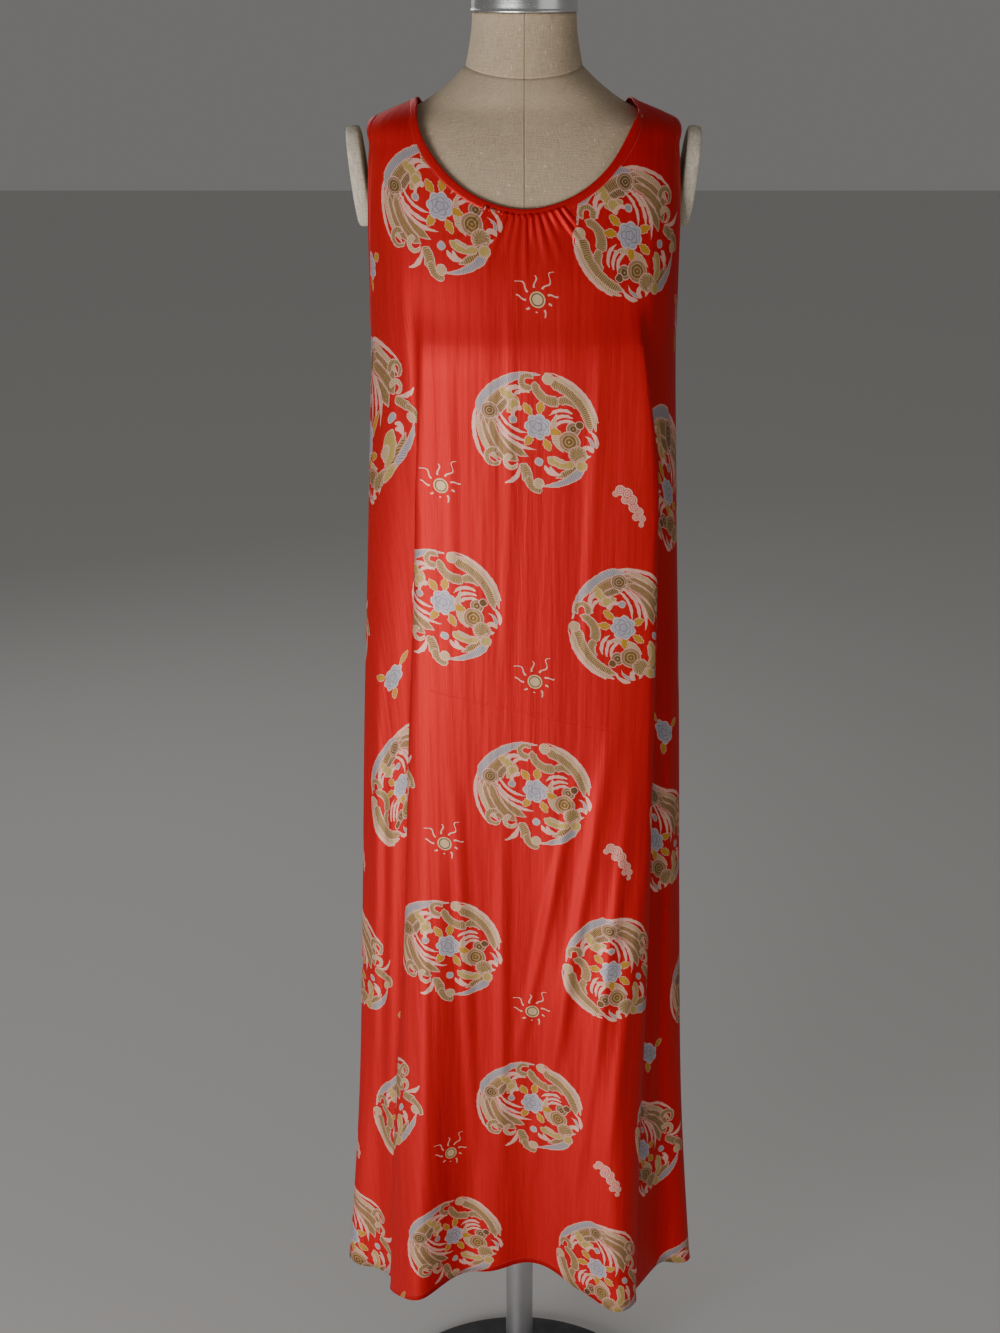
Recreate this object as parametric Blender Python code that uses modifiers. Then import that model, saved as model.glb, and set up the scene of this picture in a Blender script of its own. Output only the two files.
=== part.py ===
"""A sleeveless maxi dress of thin satin, hanging on a limbless dress form with a pole and a round base.

The front of the dress faces -Y, +X is to the right of someone who looks at it, and the floor is z = 0.
Every shell of cloth and the torso come from one family of level rings. A ring is four quarters of a
superellipse: half_width to each side, front and back depths, and a squareness of 2 for a plain ellipse.
"""
import math

import bpy
import numpy as np

# Sizes of the garment, in metres
CLOTH = 0.0012              # wall of the panels
BINDING_WALL = 0.0018       # wall of the folded strips
SEAM_GAP = 0.0003           # space left between pieces that are sewn together
STRIP_GAP = 0.0007          # the same beside a bias strip, whose wall leans towards the panel's outside
NECK_HALF_WIDTH = 0.103     # neck point of the shoulder seam, from the middle
FRONT_NECK_Z = 1.478        # lowest point of the front neckline
BACK_NECK_Z = 1.536
NECK_ROUNDNESS = 1.90       # power of the curve that the neckline follows
NECK_BINDING = 0.0085       # width of the strip along the neckline
ARM_BINDING = 0.0075        # width of the strip along each armhole
TIP_HALF_WIDTH = 0.151      # outer end of the shoulder seam
UNDERARM_Z = 1.357
ARM_DEPTH_FRONT = 0.042     # how far the armhole's front edge lies before the side line
ARM_DEPTH_BACK = 0.048
ARM_ROUNDNESS = 2.6
GATHERS = 13                # small gathers under the front neckline
GATHER_HALF_WIDTH = 0.040
GATHER_HEIGHT = 0.0011
GATHER_LENGTH = 0.042
GATHER_START = 0.006        # length over which they rise from the flat edge
NECK_RISE = 8.75            # how fast the neckline climbs from its lowest point, per square metre
HEM_Z = 0.230               # where the folds reach their full depth

# Sizes of the form and its stand
TORSO_BOTTOM = 0.900
NECK_BASE_Z = 1.604
NECK_TOP_Z = 1.653
NECK_TOP_RADIUS = 0.0505
CAP_RADIUS = 0.0520
CAP_HEIGHT = 0.026
PLATE_Z = 1.499
PLATE_X = 0.1624            # middle of each arm plate
PLATE_THICK = 0.0142
PLATE_HALF_HEIGHT = 0.049
PLATE_HALF_DEPTH = 0.033
PLATE_LEAN = 7.0            # degrees by which its top leans out
PLATE_EDGE = 0.0045
POLE_RADIUS = 0.016
COLLAR_RADIUS = 0.038
COLLAR_HEIGHT = 0.050
BASE_RADIUS = 0.180
BASE_HEIGHT = 0.020
HUB_HEIGHT = 0.065
TOUCH = 0.0003              # gap between hard pieces that meet

# Rings of the bare form. The last rows are the slope of the shoulders up to the neck.
TORSO_RINGS = [
    dict(height=0.900, half_width=0.1400, front=0.0850, back=0.0980, square=2.2, dip=0.0),
    dict(height=0.970, half_width=0.1500, front=0.0880, back=0.1080, square=2.2, dip=0.0),
    dict(height=1.060, half_width=0.1420, front=0.0840, back=0.1000, square=2.2, dip=0.0),
    dict(height=1.150, half_width=0.1200, front=0.0800, back=0.0780, square=2.1, dip=0.0),
    dict(height=1.240, half_width=0.1300, front=0.0980, back=0.0800, square=2.2, dip=0.0),
    dict(height=1.300, half_width=0.1430, front=0.1180, back=0.0880, square=2.5, dip=0.0),
    dict(height=1.350, half_width=0.1498, front=0.1282, back=0.0945, square=2.7, dip=0.0),
    dict(height=1.410, half_width=0.1500, front=0.1208, back=0.0980, square=2.8, dip=0.0),
    dict(height=1.460, half_width=0.1505, front=0.1050, back=0.0970, square=2.8, dip=0.0),
    dict(height=1.498, half_width=0.1505, front=0.0915, back=0.0920, square=2.8, dip=0.0),
    dict(height=1.530, half_width=0.1495, front=0.0770, back=0.0822, square=2.5, dip=0.0),
    dict(height=1.5480, half_width=0.1460, front=0.0660, back=0.0710, square=2.3, dip=0.0),
    dict(height=1.5685, half_width=0.1015, front=0.0575, back=0.0628, square=2.1, dip=0.002),
    dict(height=1.588, half_width=0.0740, front=0.0575, back=0.0605, square=2.0, dip=0.006),
    dict(height=1.604, half_width=0.0570, front=0.0560, back=0.0570, square=2.0, dip=0.010),
]

# Inner face of the dress. Down to the bust it lies on the form, and below it hangs free.
DRESS_RINGS = [
    dict(height=0.200, half_width=0.2058, front=0.052, back=0.0920, square=2.2),
    dict(height=0.447, half_width=0.1870, front=0.064, back=0.0960, square=2.3),
    dict(height=0.705, half_width=0.1768, front=0.073, back=0.1020, square=2.4),
    dict(height=0.944, half_width=0.1690, front=0.080, back=0.1110, square=2.5),
    dict(height=1.113, half_width=0.1618, front=0.091, back=0.1060, square=2.6),
    dict(height=1.242, half_width=0.1565, front=0.111, back=0.1010, square=2.7),
    dict(height=1.300, half_width=0.1540, front=0.1235, back=0.0985, square=2.8),
    dict(height=1.350, half_width=0.1528, front=0.1290, back=0.0970, square=2.8),
    dict(height=1.410, half_width=0.1535, front=0.1222, back=0.1005, square=2.9),
    dict(height=1.460, half_width=0.1552, front=0.1074, back=0.0994, square=2.9),
    dict(height=1.498, half_width=0.1556, front=0.0940, back=0.0944, square=2.9),
    dict(height=1.530, half_width=0.1550, front=0.0814, back=0.0866, square=2.6),
    dict(height=1.552, half_width=0.1510, front=0.0712, back=0.0766, square=2.3),
    dict(height=1.573, half_width=0.1050, front=0.0625, back=0.0680, square=2.1),
]

# Depth of the flat front between the two long folds, and how far from the middle those folds lie, where
# the front stands out over the side parts
FRONT_DROP = [
    dict(height=0.200, drop=0.0720, left_edge=0.152, right_edge=0.133),
    dict(height=0.447, drop=0.0980, left_edge=0.142, right_edge=0.133),
    dict(height=0.705, drop=0.1100, left_edge=0.126, right_edge=0.136),
    dict(height=0.944, drop=0.1170, left_edge=0.117, right_edge=0.135),
    dict(height=1.113, drop=0.1205, left_edge=0.109, right_edge=0.134),
    dict(height=1.242, drop=0.1250, left_edge=0.105, right_edge=0.130),
    dict(height=1.300, drop=0.1280, left_edge=0.103, right_edge=0.122),
    dict(height=1.350, drop=0.1290, left_edge=0.101, right_edge=0.115),
    dict(height=1.410, drop=0.0900, left_edge=0.100, right_edge=0.110),
    dict(height=1.460, drop=0.0800, left_edge=0.100, right_edge=0.110),
    dict(height=1.498, drop=0.0700, left_edge=0.100, right_edge=0.110),
    dict(height=1.530, drop=0.0600, left_edge=0.100, right_edge=0.110),
    dict(height=1.552, drop=0.0550, left_edge=0.100, right_edge=0.110),
    dict(height=1.573, drop=0.0500, left_edge=0.100, right_edge=0.110),
]

# Folds that run down a panel. across and across_hem are places from the middle, at the start of the
# fold and at the hem; out is how far the cloth stands out at the hem, and power how late that comes.
FRONT_FOLDS = [
    dict(name="left roll", start=1.0500, across=-0.085, across_hem=-0.119,
         half_width=0.036, out=0.031, power=1.6),
    dict(name="left inner trough", start=0.8500, across=-0.045, across_hem=-0.062,
         half_width=0.034, out=-0.016, power=1.5),
    dict(name="middle trough", start=0.9500, across=0.000, across_hem=0.012,
         half_width=0.062, out=-0.026, power=1.8),
    dict(name="slanting crease", start=1.0200, across=0.022, across_hem=0.066,
         half_width=0.026, out=0.010, power=1.0),
    dict(name="right roll", start=1.0500, across=0.080, across_hem=0.112,
         half_width=0.046, out=0.040, power=1.6),
    dict(name="left side hollow", start=0.9000, across=-0.150, across_hem=-0.170,
         half_width=0.026, out=-0.012, power=1.2),
    dict(name="right side hollow", start=0.9000, across=0.148, across_hem=0.166,
         half_width=0.026, out=-0.014, power=1.2),
]
BACK_FOLDS = [
    dict(name="left outer roll", start=1.2000, across=-0.110, across_hem=-0.140,
         half_width=0.040, out=0.024, power=1.1),
    dict(name="left trough", start=1.2000, across=-0.062, across_hem=-0.078,
         half_width=0.042, out=-0.026, power=1.1),
    dict(name="middle roll", start=1.3000, across=0.004, across_hem=0.000,
         half_width=0.050, out=0.022, power=1.1),
    dict(name="right trough", start=1.2000, across=0.066, across_hem=0.080,
         half_width=0.042, out=-0.026, power=1.1),
    dict(name="right outer roll", start=1.2000, across=0.112, across_hem=0.142,
         half_width=0.040, out=0.024, power=1.1),
]

# Height of the hem's edge at places across the panel
FRONT_HEM = [
    dict(across=-0.210, height=0.238),
    dict(across=-0.160, height=0.232),
    dict(across=-0.118, height=0.248),
    dict(across=-0.060, height=0.256),
    dict(across=0.012, height=0.265),
    dict(across=0.060, height=0.253),
    dict(across=0.112, height=0.237),
    dict(across=0.155, height=0.238),
    dict(across=0.170, height=0.240),
    dict(across=0.210, height=0.232),
]
BACK_HEM = [
    dict(across=-0.210, height=0.238),
    dict(across=-0.135, height=0.229),
    dict(across=-0.075, height=0.236),
    dict(across=0.000, height=0.230),
    dict(across=0.075, height=0.236),
    dict(across=0.135, height=0.229),
    dict(across=0.210, height=0.232),
]

STEP_WIDTH = 0.0050         # how quickly the front drop turns back at its edge
STEP_OVERHANG = 0.0190      # how far its edge stands out sideways over the side part
FULL_STEP = 0.022           # depth of step from which the overhang is whole
CROWN = 0.07                # share by which the front drop rounds back at its edges

ARM_PULL_TOP = 5.0          # how quickly the armhole's curve fades across the panel, at the shoulder
ARM_PULL_LOW = 1.8          # and at the underarm

# Numbers of points
RING_SAMPLES = 181
NECK_SIDE_COLUMNS = 8
SHOULDER_COLUMNS = 3
TORSO_POINTS = 36
TORSO_FINE_ABOVE = 1.34     # the torso has twice the rings from here up, where it shows
NECK_STEP = 4               # the neck strip has a point at every fourth column of the gathers
FRONT_ROWS = (12, 12)       # above and below the underarm
BACK_ROWS = (12, 10)
BACK_COLUMNS = 34

COLOURS = {
    "satin": ((0.60, 0.02, 0.015), 0.35, 0.0),
    "linen": ((0.55, 0.43, 0.30), 0.9, 0.0),
    "canvas": ((0.75, 0.68, 0.55), 0.9, 0.0),
    "aluminium": ((0.75, 0.75, 0.74), 0.3, 1.0),
    "iron": ((0.03, 0.03, 0.032), 0.5, 0.4),
    "steel": ((0.55, 0.55, 0.56), 0.35, 1.0),
}


def smooth_value(table, column, height, key="height"):
    """Reads a column of a table at any height, on a smooth curve through its rows."""
    x = np.array([row[key] for row in table])
    y = np.array([row[column] for row in table])
    order = np.argsort(x)
    x, y = x[order], y[order]
    slope = np.gradient(y, x)
    at = np.clip(np.asarray(height, float), x[0], x[-1])
    i = np.clip(np.searchsorted(x, at) - 1, 0, len(x) - 2)
    span = x[i + 1] - x[i]
    t = (at - x[i]) / span
    return (
        (2 * t**3 - 3 * t**2 + 1) * y[i]
        + (t**3 - 2 * t**2 + t) * span * slope[i]
        + (3 * t**2 - 2 * t**3) * y[i + 1]
        + (t**3 - t**2) * span * slope[i + 1]
    )


def ring_point(table, angle, height, side):
    """Plan position on a half ring: angle 0 is its middle, and side is -1 for the front, 1 for the back."""
    power = 2 / smooth_value(table, "square", height)
    wide = smooth_value(table, "half_width", height)
    deep = smooth_value(table, "front" if side < 0 else "back", height)
    x = wide * np.sign(np.sin(angle)) * np.abs(np.sin(angle)) ** power
    y = side * deep * np.abs(np.cos(angle)) ** power
    return x, y


class HalfDress:
    """The front or back of the dress as a surface. A place on it is how far round the ring it lies from
    the middle, and its height."""

    def __init__(self, side, folds, hem, rows):
        self.side = side
        self.rows_above, self.rows_below = rows
        self.folds = folds
        self.hem = hem
        self.angles = np.linspace(0, math.pi / 2, RING_SAMPLES)

    def half_lengths(self, height):
        """Distance along the ring at height, from its middle to each of the sampled angles."""
        x, y = ring_point(DRESS_RINGS, self.angles, height, self.side)
        return np.concatenate([[0], np.cumsum(np.hypot(np.diff(x), np.diff(y)))])

    def side_reach(self, height):
        return self.half_lengths(height)[-1]

    def reach_of_x(self, x, height):
        """Signed distance round the ring, at height, of the point with this x."""
        wide = float(smooth_value(DRESS_RINGS, "half_width", height))
        square = float(smooth_value(DRESS_RINGS, "square", height))
        angle = math.asin(min(1.0, abs(x) / wide) ** (square / 2))
        return math.copysign(np.interp(angle, self.angles, self.half_lengths(height)), x)

    def reach_of_depth(self, depth, height):
        """Distance round the ring, at height, of the point this far before the side line."""
        deep = float(smooth_value(DRESS_RINGS, "front" if self.side < 0 else "back", height))
        square = float(smooth_value(DRESS_RINGS, "square", height))
        angle = math.acos(min(1.0, depth / deep) ** (square / 2))
        return float(np.interp(angle, self.angles, self.half_lengths(height)))

    def point(self, reach, height):
        """The point of the inner face, with the long folds in it."""
        lengths = self.half_lengths(height)
        angle = math.copysign(np.interp(abs(reach), lengths, self.angles), reach)
        x, y = ring_point(DRESS_RINGS, angle, height, self.side)
        x, y = float(x), float(y)
        if self.side < 0:
            x, y = front_drop(x, y, height)
        y += self.side * fold_height(self.folds, x, height)
        return np.array([x, y, height])


def front_drop(x, y, height):
    """Brings the middle of the front forward, as cloth does that hangs from the bust. At its two edges it
    turns back in a crisp fold that stands a little over the side part."""
    edge = float(smooth_value(FRONT_DROP, "left_edge" if x < 0 else "right_edge", height))
    forward = -float(smooth_value(FRONT_DROP, "drop", height)) * (1 - CROWN * (x / edge) ** 2)
    forward = min(y, forward)
    overhang = STEP_OVERHANG * min(1.0, (y - forward) / FULL_STEP)
    beside = abs(x) - edge + 0.78 * overhang
    inside = 1 / (1 + math.exp(beside / STEP_WIDTH))
    reach = (beside + STEP_WIDTH) / (1.8 * STEP_WIDTH)
    return x + math.copysign(overhang * math.exp(-reach * reach), x), y - (y - forward) * inside


def fold_height(folds, x, height):
    """How far the long folds push the cloth out at this place."""
    total = 0.0
    for fold in folds:
        fall = (fold["start"] - height) / (fold["start"] - HEM_Z)
        if fall <= 0:
            continue
        middle = fold["across"] + (fold["across_hem"] - fold["across"]) * fall
        beside = (x - middle) / fold["half_width"]
        if abs(beside) < 1.6:
            total += fold["out"] * fall ** fold["power"] * math.exp(-2 * beside * beside)
    return total


def ridge_height(half_width):
    """Height of the shoulder line where it is this far from the middle."""
    low, high = DRESS_RINGS[-2], DRESS_RINGS[-1]
    heights = np.linspace(low["height"] - 0.01, high["height"], 60)
    widths = smooth_value(DRESS_RINGS, "half_width", heights)
    return float(np.interp(-half_width, -widths, heights))


def neck_place(half, turn, inset):
    """Place on the half dress of the neckline moved into the cloth by inset; turn runs from -1 to 1."""
    wide = NECK_HALF_WIDTH + 0.9 * inset
    top = ridge_height(wide)
    bottom = (FRONT_NECK_Z if half.side < 0 else BACK_NECK_Z) - 0.95 * inset
    angle = turn * math.pi / 2
    power = 2 / NECK_ROUNDNESS
    x = wide * math.copysign(abs(math.sin(angle)) ** power, turn)
    z = top - (top - bottom) * abs(math.cos(angle)) ** power
    if abs(turn) > 0.9999:
        return math.copysign(half.side_reach(top), turn), top
    return half.reach_of_x(x, z), z


def arm_place(half, turn, inset):
    """Place on the armhole's edge moved into the cloth by inset; turn runs from 0 at the tip to 1 under
    the arm."""
    tip = ridge_height(TIP_HALF_WIDTH - 0.9 * inset)
    low = UNDERARM_Z - inset
    angle = math.pi * turn
    power = 2 / ARM_ROUNDNESS
    middle = (tip + low) / 2
    z = middle + (tip - low) / 2 * math.copysign(abs(math.cos(angle)) ** power, math.cos(angle))
    depth = (ARM_DEPTH_FRONT if half.side < 0 else ARM_DEPTH_BACK) + inset
    depth *= abs(math.sin(angle)) ** power
    return half.reach_of_depth(depth, z), z


def arm_turns(half):
    """Turns of the armhole at which the panel has its rows, closer together at the shoulder."""
    return [(i / half.rows_above) ** 1.2 for i in range(half.rows_above + 1)]


def neck_turns(half, step=1):
    """Turns of the neckline at which the panel has its columns, from the left neck point to the right
    one. With a step, only every so many of the middle ones are given."""
    if half.side < 0:
        limit = gather_turn(half)
        columns = 4 * GATHERS
    else:
        limit = 0.5
        columns = BACK_COLUMNS - 2 * (SHOULDER_COLUMNS + NECK_SIDE_COLUMNS)
    sides = [1 - (1 - limit) * i / NECK_SIDE_COLUMNS for i in range(NECK_SIDE_COLUMNS)]
    middle = list(np.linspace(-limit, limit, columns + 1))[::step]
    return [-t for t in sides] + middle + sides[::-1]


def top_edge(half):
    """The panel's upper edge from shoulder tip to shoulder tip, as places."""
    inset = NECK_BINDING + STRIP_GAP
    outer = TIP_HALF_WIDTH - 0.9 * (ARM_BINDING + STRIP_GAP)
    inner = NECK_HALF_WIDTH + 0.9 * inset
    shoulder = []
    for i in range(SHOULDER_COLUMNS):
        z = ridge_height(outer + (inner - outer) * i / SHOULDER_COLUMNS)
        shoulder.append((half.side_reach(z), z))
    neck = [neck_place(half, t, inset) for t in neck_turns(half)]
    left = [(-w, z) for w, z in shoulder]
    return left + neck + shoulder[::-1]


def gather_turn(half):
    """Turn of the neckline at which the gathers end."""
    turns = np.linspace(0, 1, 200)
    across = np.array([neck_place(half, t, NECK_BINDING)[0] for t in turns])
    return float(np.interp(GATHER_HALF_WIDTH, across, turns))


def hem_places(half, shares):
    """The panel's lower edge: level round the ring, then lifted to the hem's own height."""
    places = []
    for share in shares:
        low = smooth_value(half.hem, "height", 0.0, "across")
        for _ in range(4):
            reach = share * half.side_reach(float(low))
            x = half.point(reach, float(low))[0]
            low = smooth_value(half.hem, "height", x, "across")
        places.append((share * half.side_reach(float(low)), float(low)))
    return places


def panel_grid(half):
    """Rows of points from the upper edge to the hem. Above the underarm the rows turn from the neck's
    curve into a level row, between the two armholes; below it they drop to the hem."""
    top = top_edge(half)
    count = len(top)
    shares = spread_columns(count)
    under_z = UNDERARM_Z - ARM_BINDING - STRIP_GAP
    level = [(s * half.side_reach(under_z), under_z) for s in shares]
    rows = []
    for t in arm_turns(half)[:-1]:
        arm = arm_place(half, t, ARM_BINDING + STRIP_GAP)
        plain = ((1 - t) * top[-1][0] + t * level[-1][0], (1 - t) * top[-1][1] + t * level[-1][1])
        pull = (arm[0] - plain[0], arm[1] - plain[1])
        row = []
        for j in range(count):
            near = abs(shares[j]) ** (ARM_PULL_TOP * (1 - t) + ARM_PULL_LOW * t)
            w = (1 - t) * top[j][0] + t * level[j][0] + pull[0] * math.copysign(near, shares[j])
            z = (1 - t) * top[j][1] + t * level[j][1] + pull[1] * near
            row.append((w, z))
        rows.append(row)
    hem = hem_places(half, shares)
    for i in range(half.rows_below + 1):
        t = (i / half.rows_below) ** 0.92
        row = []
        for j in range(count):
            z = (1 - t) * under_z + t * hem[j][1]
            row.append((shares[j] * half.side_reach(z), z))
        rows.append(row)
    return rows


def spread_columns(count):
    """Shares from -1 to 1 of the half ring's length, closer together beside the long front folds."""
    plain = np.linspace(-1, 1, count)
    return list(plain - 0.035 * np.sin(3 * math.pi * plain) * (1 - plain**2) ** 0.25)


def gather_lift(x, z):
    """Outward lift of the small gathers on the front, which fade below the neckline."""
    below = FRONT_NECK_Z - NECK_BINDING - z + NECK_RISE * x * x
    if below < 0.0006 or below > GATHER_LENGTH:
        return 0.0
    rise = min(1.0, below / GATHER_START)
    fade = (1 - below / GATHER_LENGTH) ** 1.2
    return GATHER_HEIGHT * rise * fade


def seam_shift(point, half, reach, height):
    """Keeps each panel's side and shoulder edges half a seam gap away from the other panel."""
    if abs(reach) > half.side_reach(height) - 1e-6:
        point[1] = half.side * SEAM_GAP / 2
    return point


def panel_points(half):
    grid = panel_grid(half)
    count = len(grid[0])
    first = SHOULDER_COLUMNS + NECK_SIDE_COLUMNS
    points = []
    for row in grid:
        line = []
        for j, (reach, height) in enumerate(row):
            point = half.point(reach, height)
            if half.side < 0 and first <= j <= count - 1 - first:
                wave = (1 - math.cos(math.pi * (j - first) / 2)) / 2
                point[1] -= wave * gather_lift(point[0], point[2])
            line.append(seam_shift(point, half, reach, height))
        points.append(line)
    return points


def new_material(slot):
    colour, roughness, metallic = COLOURS[slot]
    material = bpy.data.materials.get(slot) or bpy.data.materials.new(slot)
    material.use_nodes = True
    shader = material.node_tree.nodes["Principled BSDF"]
    shader.inputs["Base Color"].default_value = (*colour, 1)
    shader.inputs["Roughness"].default_value = roughness
    shader.inputs["Metallic"].default_value = metallic
    return material


def finish_object(obj, name, slot, collection):
    """Gives an object its name and material, and moves it into the part's collection."""
    obj.name = name
    obj.data.name = name
    obj.data.materials.clear()
    obj.data.materials.append(new_material(slot))
    for held in list(obj.users_collection):
        held.objects.unlink(obj)
    collection.objects.link(obj)
    return obj


def grid_object(name, rows, slot, collection, around=False, capped=False):
    """A quad surface through rows of points; around joins each row's ends, capped closes first and last."""
    points = [tuple(p) for row in rows for p in row]
    count = len(rows[0])
    faces = []
    for i in range(len(rows) - 1):
        for j in range(count if around else count - 1):
            k = (j + 1) % count
            faces.append((i * count + j, i * count + k, (i + 1) * count + k, (i + 1) * count + j))
    if capped:
        for start, turn in ((0, -1), ((len(rows) - 1) * count, 1)):
            rim = points[start:start + count]
            points.append(tuple(sum(axis) / count for axis in zip(*rim)))
            for j in range(count):
                corner = (start + j, start + (j + 1) % count, len(points) - 1)
                faces.append(corner[::turn])
    mesh = bpy.data.meshes.new(name)
    mesh.from_pydata(points, [], faces)
    mesh.shade_smooth()
    obj = bpy.data.objects.new(name, mesh)
    bpy.context.scene.collection.objects.link(obj)
    return finish_object(obj, name, slot, collection)


def thicken(obj, thickness, outward):
    """Makes an open surface a wall that grows to one side of it."""
    wall = obj.modifiers.new("wall", "SOLIDIFY")
    wall.thickness = thickness
    wall.offset = outward
    wall.use_even_offset = False
    return obj


def build_panel(name, half, collection):
    panel = grid_object(name, panel_points(half), "satin", collection)
    return thicken(panel, CLOTH, 1 if half.side > 0 else -1)


def neck_strip(front, back, inset):
    """One closed line of points along the neckline, at this inset."""
    points = []
    for half, turns in ((front, neck_turns(front, NECK_STEP)), (back, neck_turns(back)[::-1])):
        for turn in turns[:-1]:
            w, z = neck_place(half, float(turn), inset)
            point = half.point(w, z)
            if abs(turn) > 0.9999:
                point[1] = 0.0
            points.append(point)
    return points


def arm_strip(front, back, inset, mirror):
    """One closed line of points round an armhole, at this inset."""
    points = []
    for half, turns in ((front, arm_turns(front)), (back, arm_turns(back)[::-1])):
        for turn in turns[:-1]:
            w, z = arm_place(half, float(turn), inset)
            point = half.point(mirror * w, z)
            if turn < 0.0001 or turn > 0.9999:
                point[1] = 0.0
            points.append(point)
    return points


def build_strips(front, back, collection):
    """The bias strips round the neck and the armholes, closed bands a little thicker than the panels."""
    rows = [neck_strip(front, back, NECK_BINDING * part) for part in (0.0, 0.5, 1.0)]
    thicken(grid_object("neck_binding", rows, "satin", collection, around=True), BINDING_WALL, -1)
    for name, mirror in (("armhole_binding_left", -1), ("armhole_binding_right", 1)):
        rows = [arm_strip(front, back, ARM_BINDING * part, mirror) for part in (0.0, 1.0)]
        strip = grid_object(name, rows, "satin", collection, around=True)
        thicken(strip, BINDING_WALL, -1 if mirror < 0 else 1)


def torso_row(height):
    """One closed level ring of the form; near the neck its front dips a little."""
    dip = float(smooth_value(TORSO_RINGS, "dip", height))
    row = []
    for i in range(TORSO_POINTS):
        angle = 2 * math.pi * i / TORSO_POINTS
        side = -1 if math.cos(angle) > 0 else 1
        x, y = ring_point(TORSO_RINGS, angle, height, side)
        row.append((float(x), float(y), height - dip * max(0.0, math.cos(angle)) ** 1.5))
    return row


def build_form(collection):
    heights = [row["height"] for row in TORSO_RINGS]
    between = [0.5 * (a + b) for a, b in zip(heights, heights[1:]) if a > TORSO_FINE_ABOVE]
    rows = [torso_row(h) for h in sorted(heights + between)]
    grid_object("form_torso", rows, "linen", collection, around=True, capped=True)
    base = [(x, y, z + TOUCH) for x, y, z in torso_row(NECK_BASE_Z)]
    neck_rows = []
    for t in (0.0, 0.15, 0.5, 0.85, 1.0):
        row = []
        for i, (x, y, z) in enumerate(base):
            angle = 2 * math.pi * i / TORSO_POINTS
            top = (NECK_TOP_RADIUS * math.sin(angle), -NECK_TOP_RADIUS * math.cos(angle), NECK_TOP_Z)
            share = math.sin(t * math.pi / 2)
            row.append((x + (top[0] - x) * share, y + (top[1] - y) * share, z + (top[2] - z) * t))
        neck_rows.append(row)
    grid_object("form_neck", neck_rows, "linen", collection, around=True, capped=True)
    low = NECK_TOP_Z + TOUCH
    turned("form_neck_cap", [
        (CAP_RADIUS - 0.012, low + CAP_HEIGHT),
        (CAP_RADIUS - 0.003, low + CAP_HEIGHT - 0.002),
        (CAP_RADIUS, low + CAP_HEIGHT - 0.005),
        (CAP_RADIUS, low + 0.001),
        (CAP_RADIUS - 0.001, low),
    ], "aluminium", collection, 40)
    for name, way in (("form_arm_plate_left", -1), ("form_arm_plate_right", 1)):
        bpy.ops.mesh.primitive_cylinder_add(vertices=28, radius=1, depth=PLATE_THICK)
        plate = bpy.context.object
        plate.scale = (PLATE_HALF_HEIGHT, PLATE_HALF_DEPTH, 1)
        bpy.ops.object.transform_apply(location=False, rotation=False, scale=True)
        plate.rotation_euler = (0, way * math.radians(90 - PLATE_LEAN), 0)
        plate.location = (way * PLATE_X, 0, PLATE_Z)
        edge = plate.modifiers.new("rounded edge", "BEVEL")
        edge.width = PLATE_EDGE
        edge.segments = 2
        plate.data.shade_smooth()
        finish_object(plate, name, "canvas", collection)


def turned(name, profile, slot, collection, steps):
    """A solid of revolution from a profile of (radius, height), given from top to bottom."""
    top, bottom = profile[0], profile[-1]
    outline = [(0.0, top[1])] + list(profile) + [(0.0, bottom[1])]
    mesh = bpy.data.meshes.new(name)
    edges = [(i, i + 1) for i in range(len(outline) - 1)]
    mesh.from_pydata([(r, 0, z) for r, z in outline], edges, [])
    obj = bpy.data.objects.new(name, mesh)
    bpy.context.scene.collection.objects.link(obj)
    screw = obj.modifiers.new("turn", "SCREW")
    screw.steps = steps
    screw.render_steps = steps
    screw.use_merge_vertices = True
    screw.merge_threshold = 0.00001
    return finish_object(obj, name, slot, collection)


def build_stand(collection):
    turned("stand_base", [
        (0.030, BASE_HEIGHT),
        (BASE_RADIUS - 0.020, BASE_HEIGHT - 0.006),
        (BASE_RADIUS - 0.004, BASE_HEIGHT - 0.010),
        (BASE_RADIUS, BASE_HEIGHT - 0.014),
        (BASE_RADIUS, 0.0),
    ], "iron", collection, 56)
    hub_top = BASE_HEIGHT + HUB_HEIGHT
    turned("stand_hub", [
        (POLE_RADIUS + 0.004, hub_top),
        (POLE_RADIUS + 0.006, hub_top - 0.003),
        (POLE_RADIUS + 0.006, BASE_HEIGHT + 0.020),
        (0.029, BASE_HEIGHT + 0.006),
        (0.0295, BASE_HEIGHT + TOUCH),
    ], "iron", collection, 32)
    collar_top = TORSO_BOTTOM - TOUCH
    collar_low = collar_top - COLLAR_HEIGHT
    bpy.ops.mesh.primitive_cylinder_add(
        vertices=32, radius=POLE_RADIUS, depth=collar_low - hub_top - 2 * TOUCH,
        location=(0, 0, (collar_low + hub_top) / 2))
    pole = bpy.context.object
    pole.data.shade_smooth()
    finish_object(pole, "stand_pole", "steel", collection)
    turned("stand_collar", [
        (COLLAR_RADIUS, collar_top),
        (COLLAR_RADIUS, collar_top - 0.006),
        (POLE_RADIUS + 0.008, collar_top - 0.012),
        (POLE_RADIUS + 0.006, collar_low + 0.002),
        (POLE_RADIUS + 0.004, collar_low),
    ], "iron", collection, 32)


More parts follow.
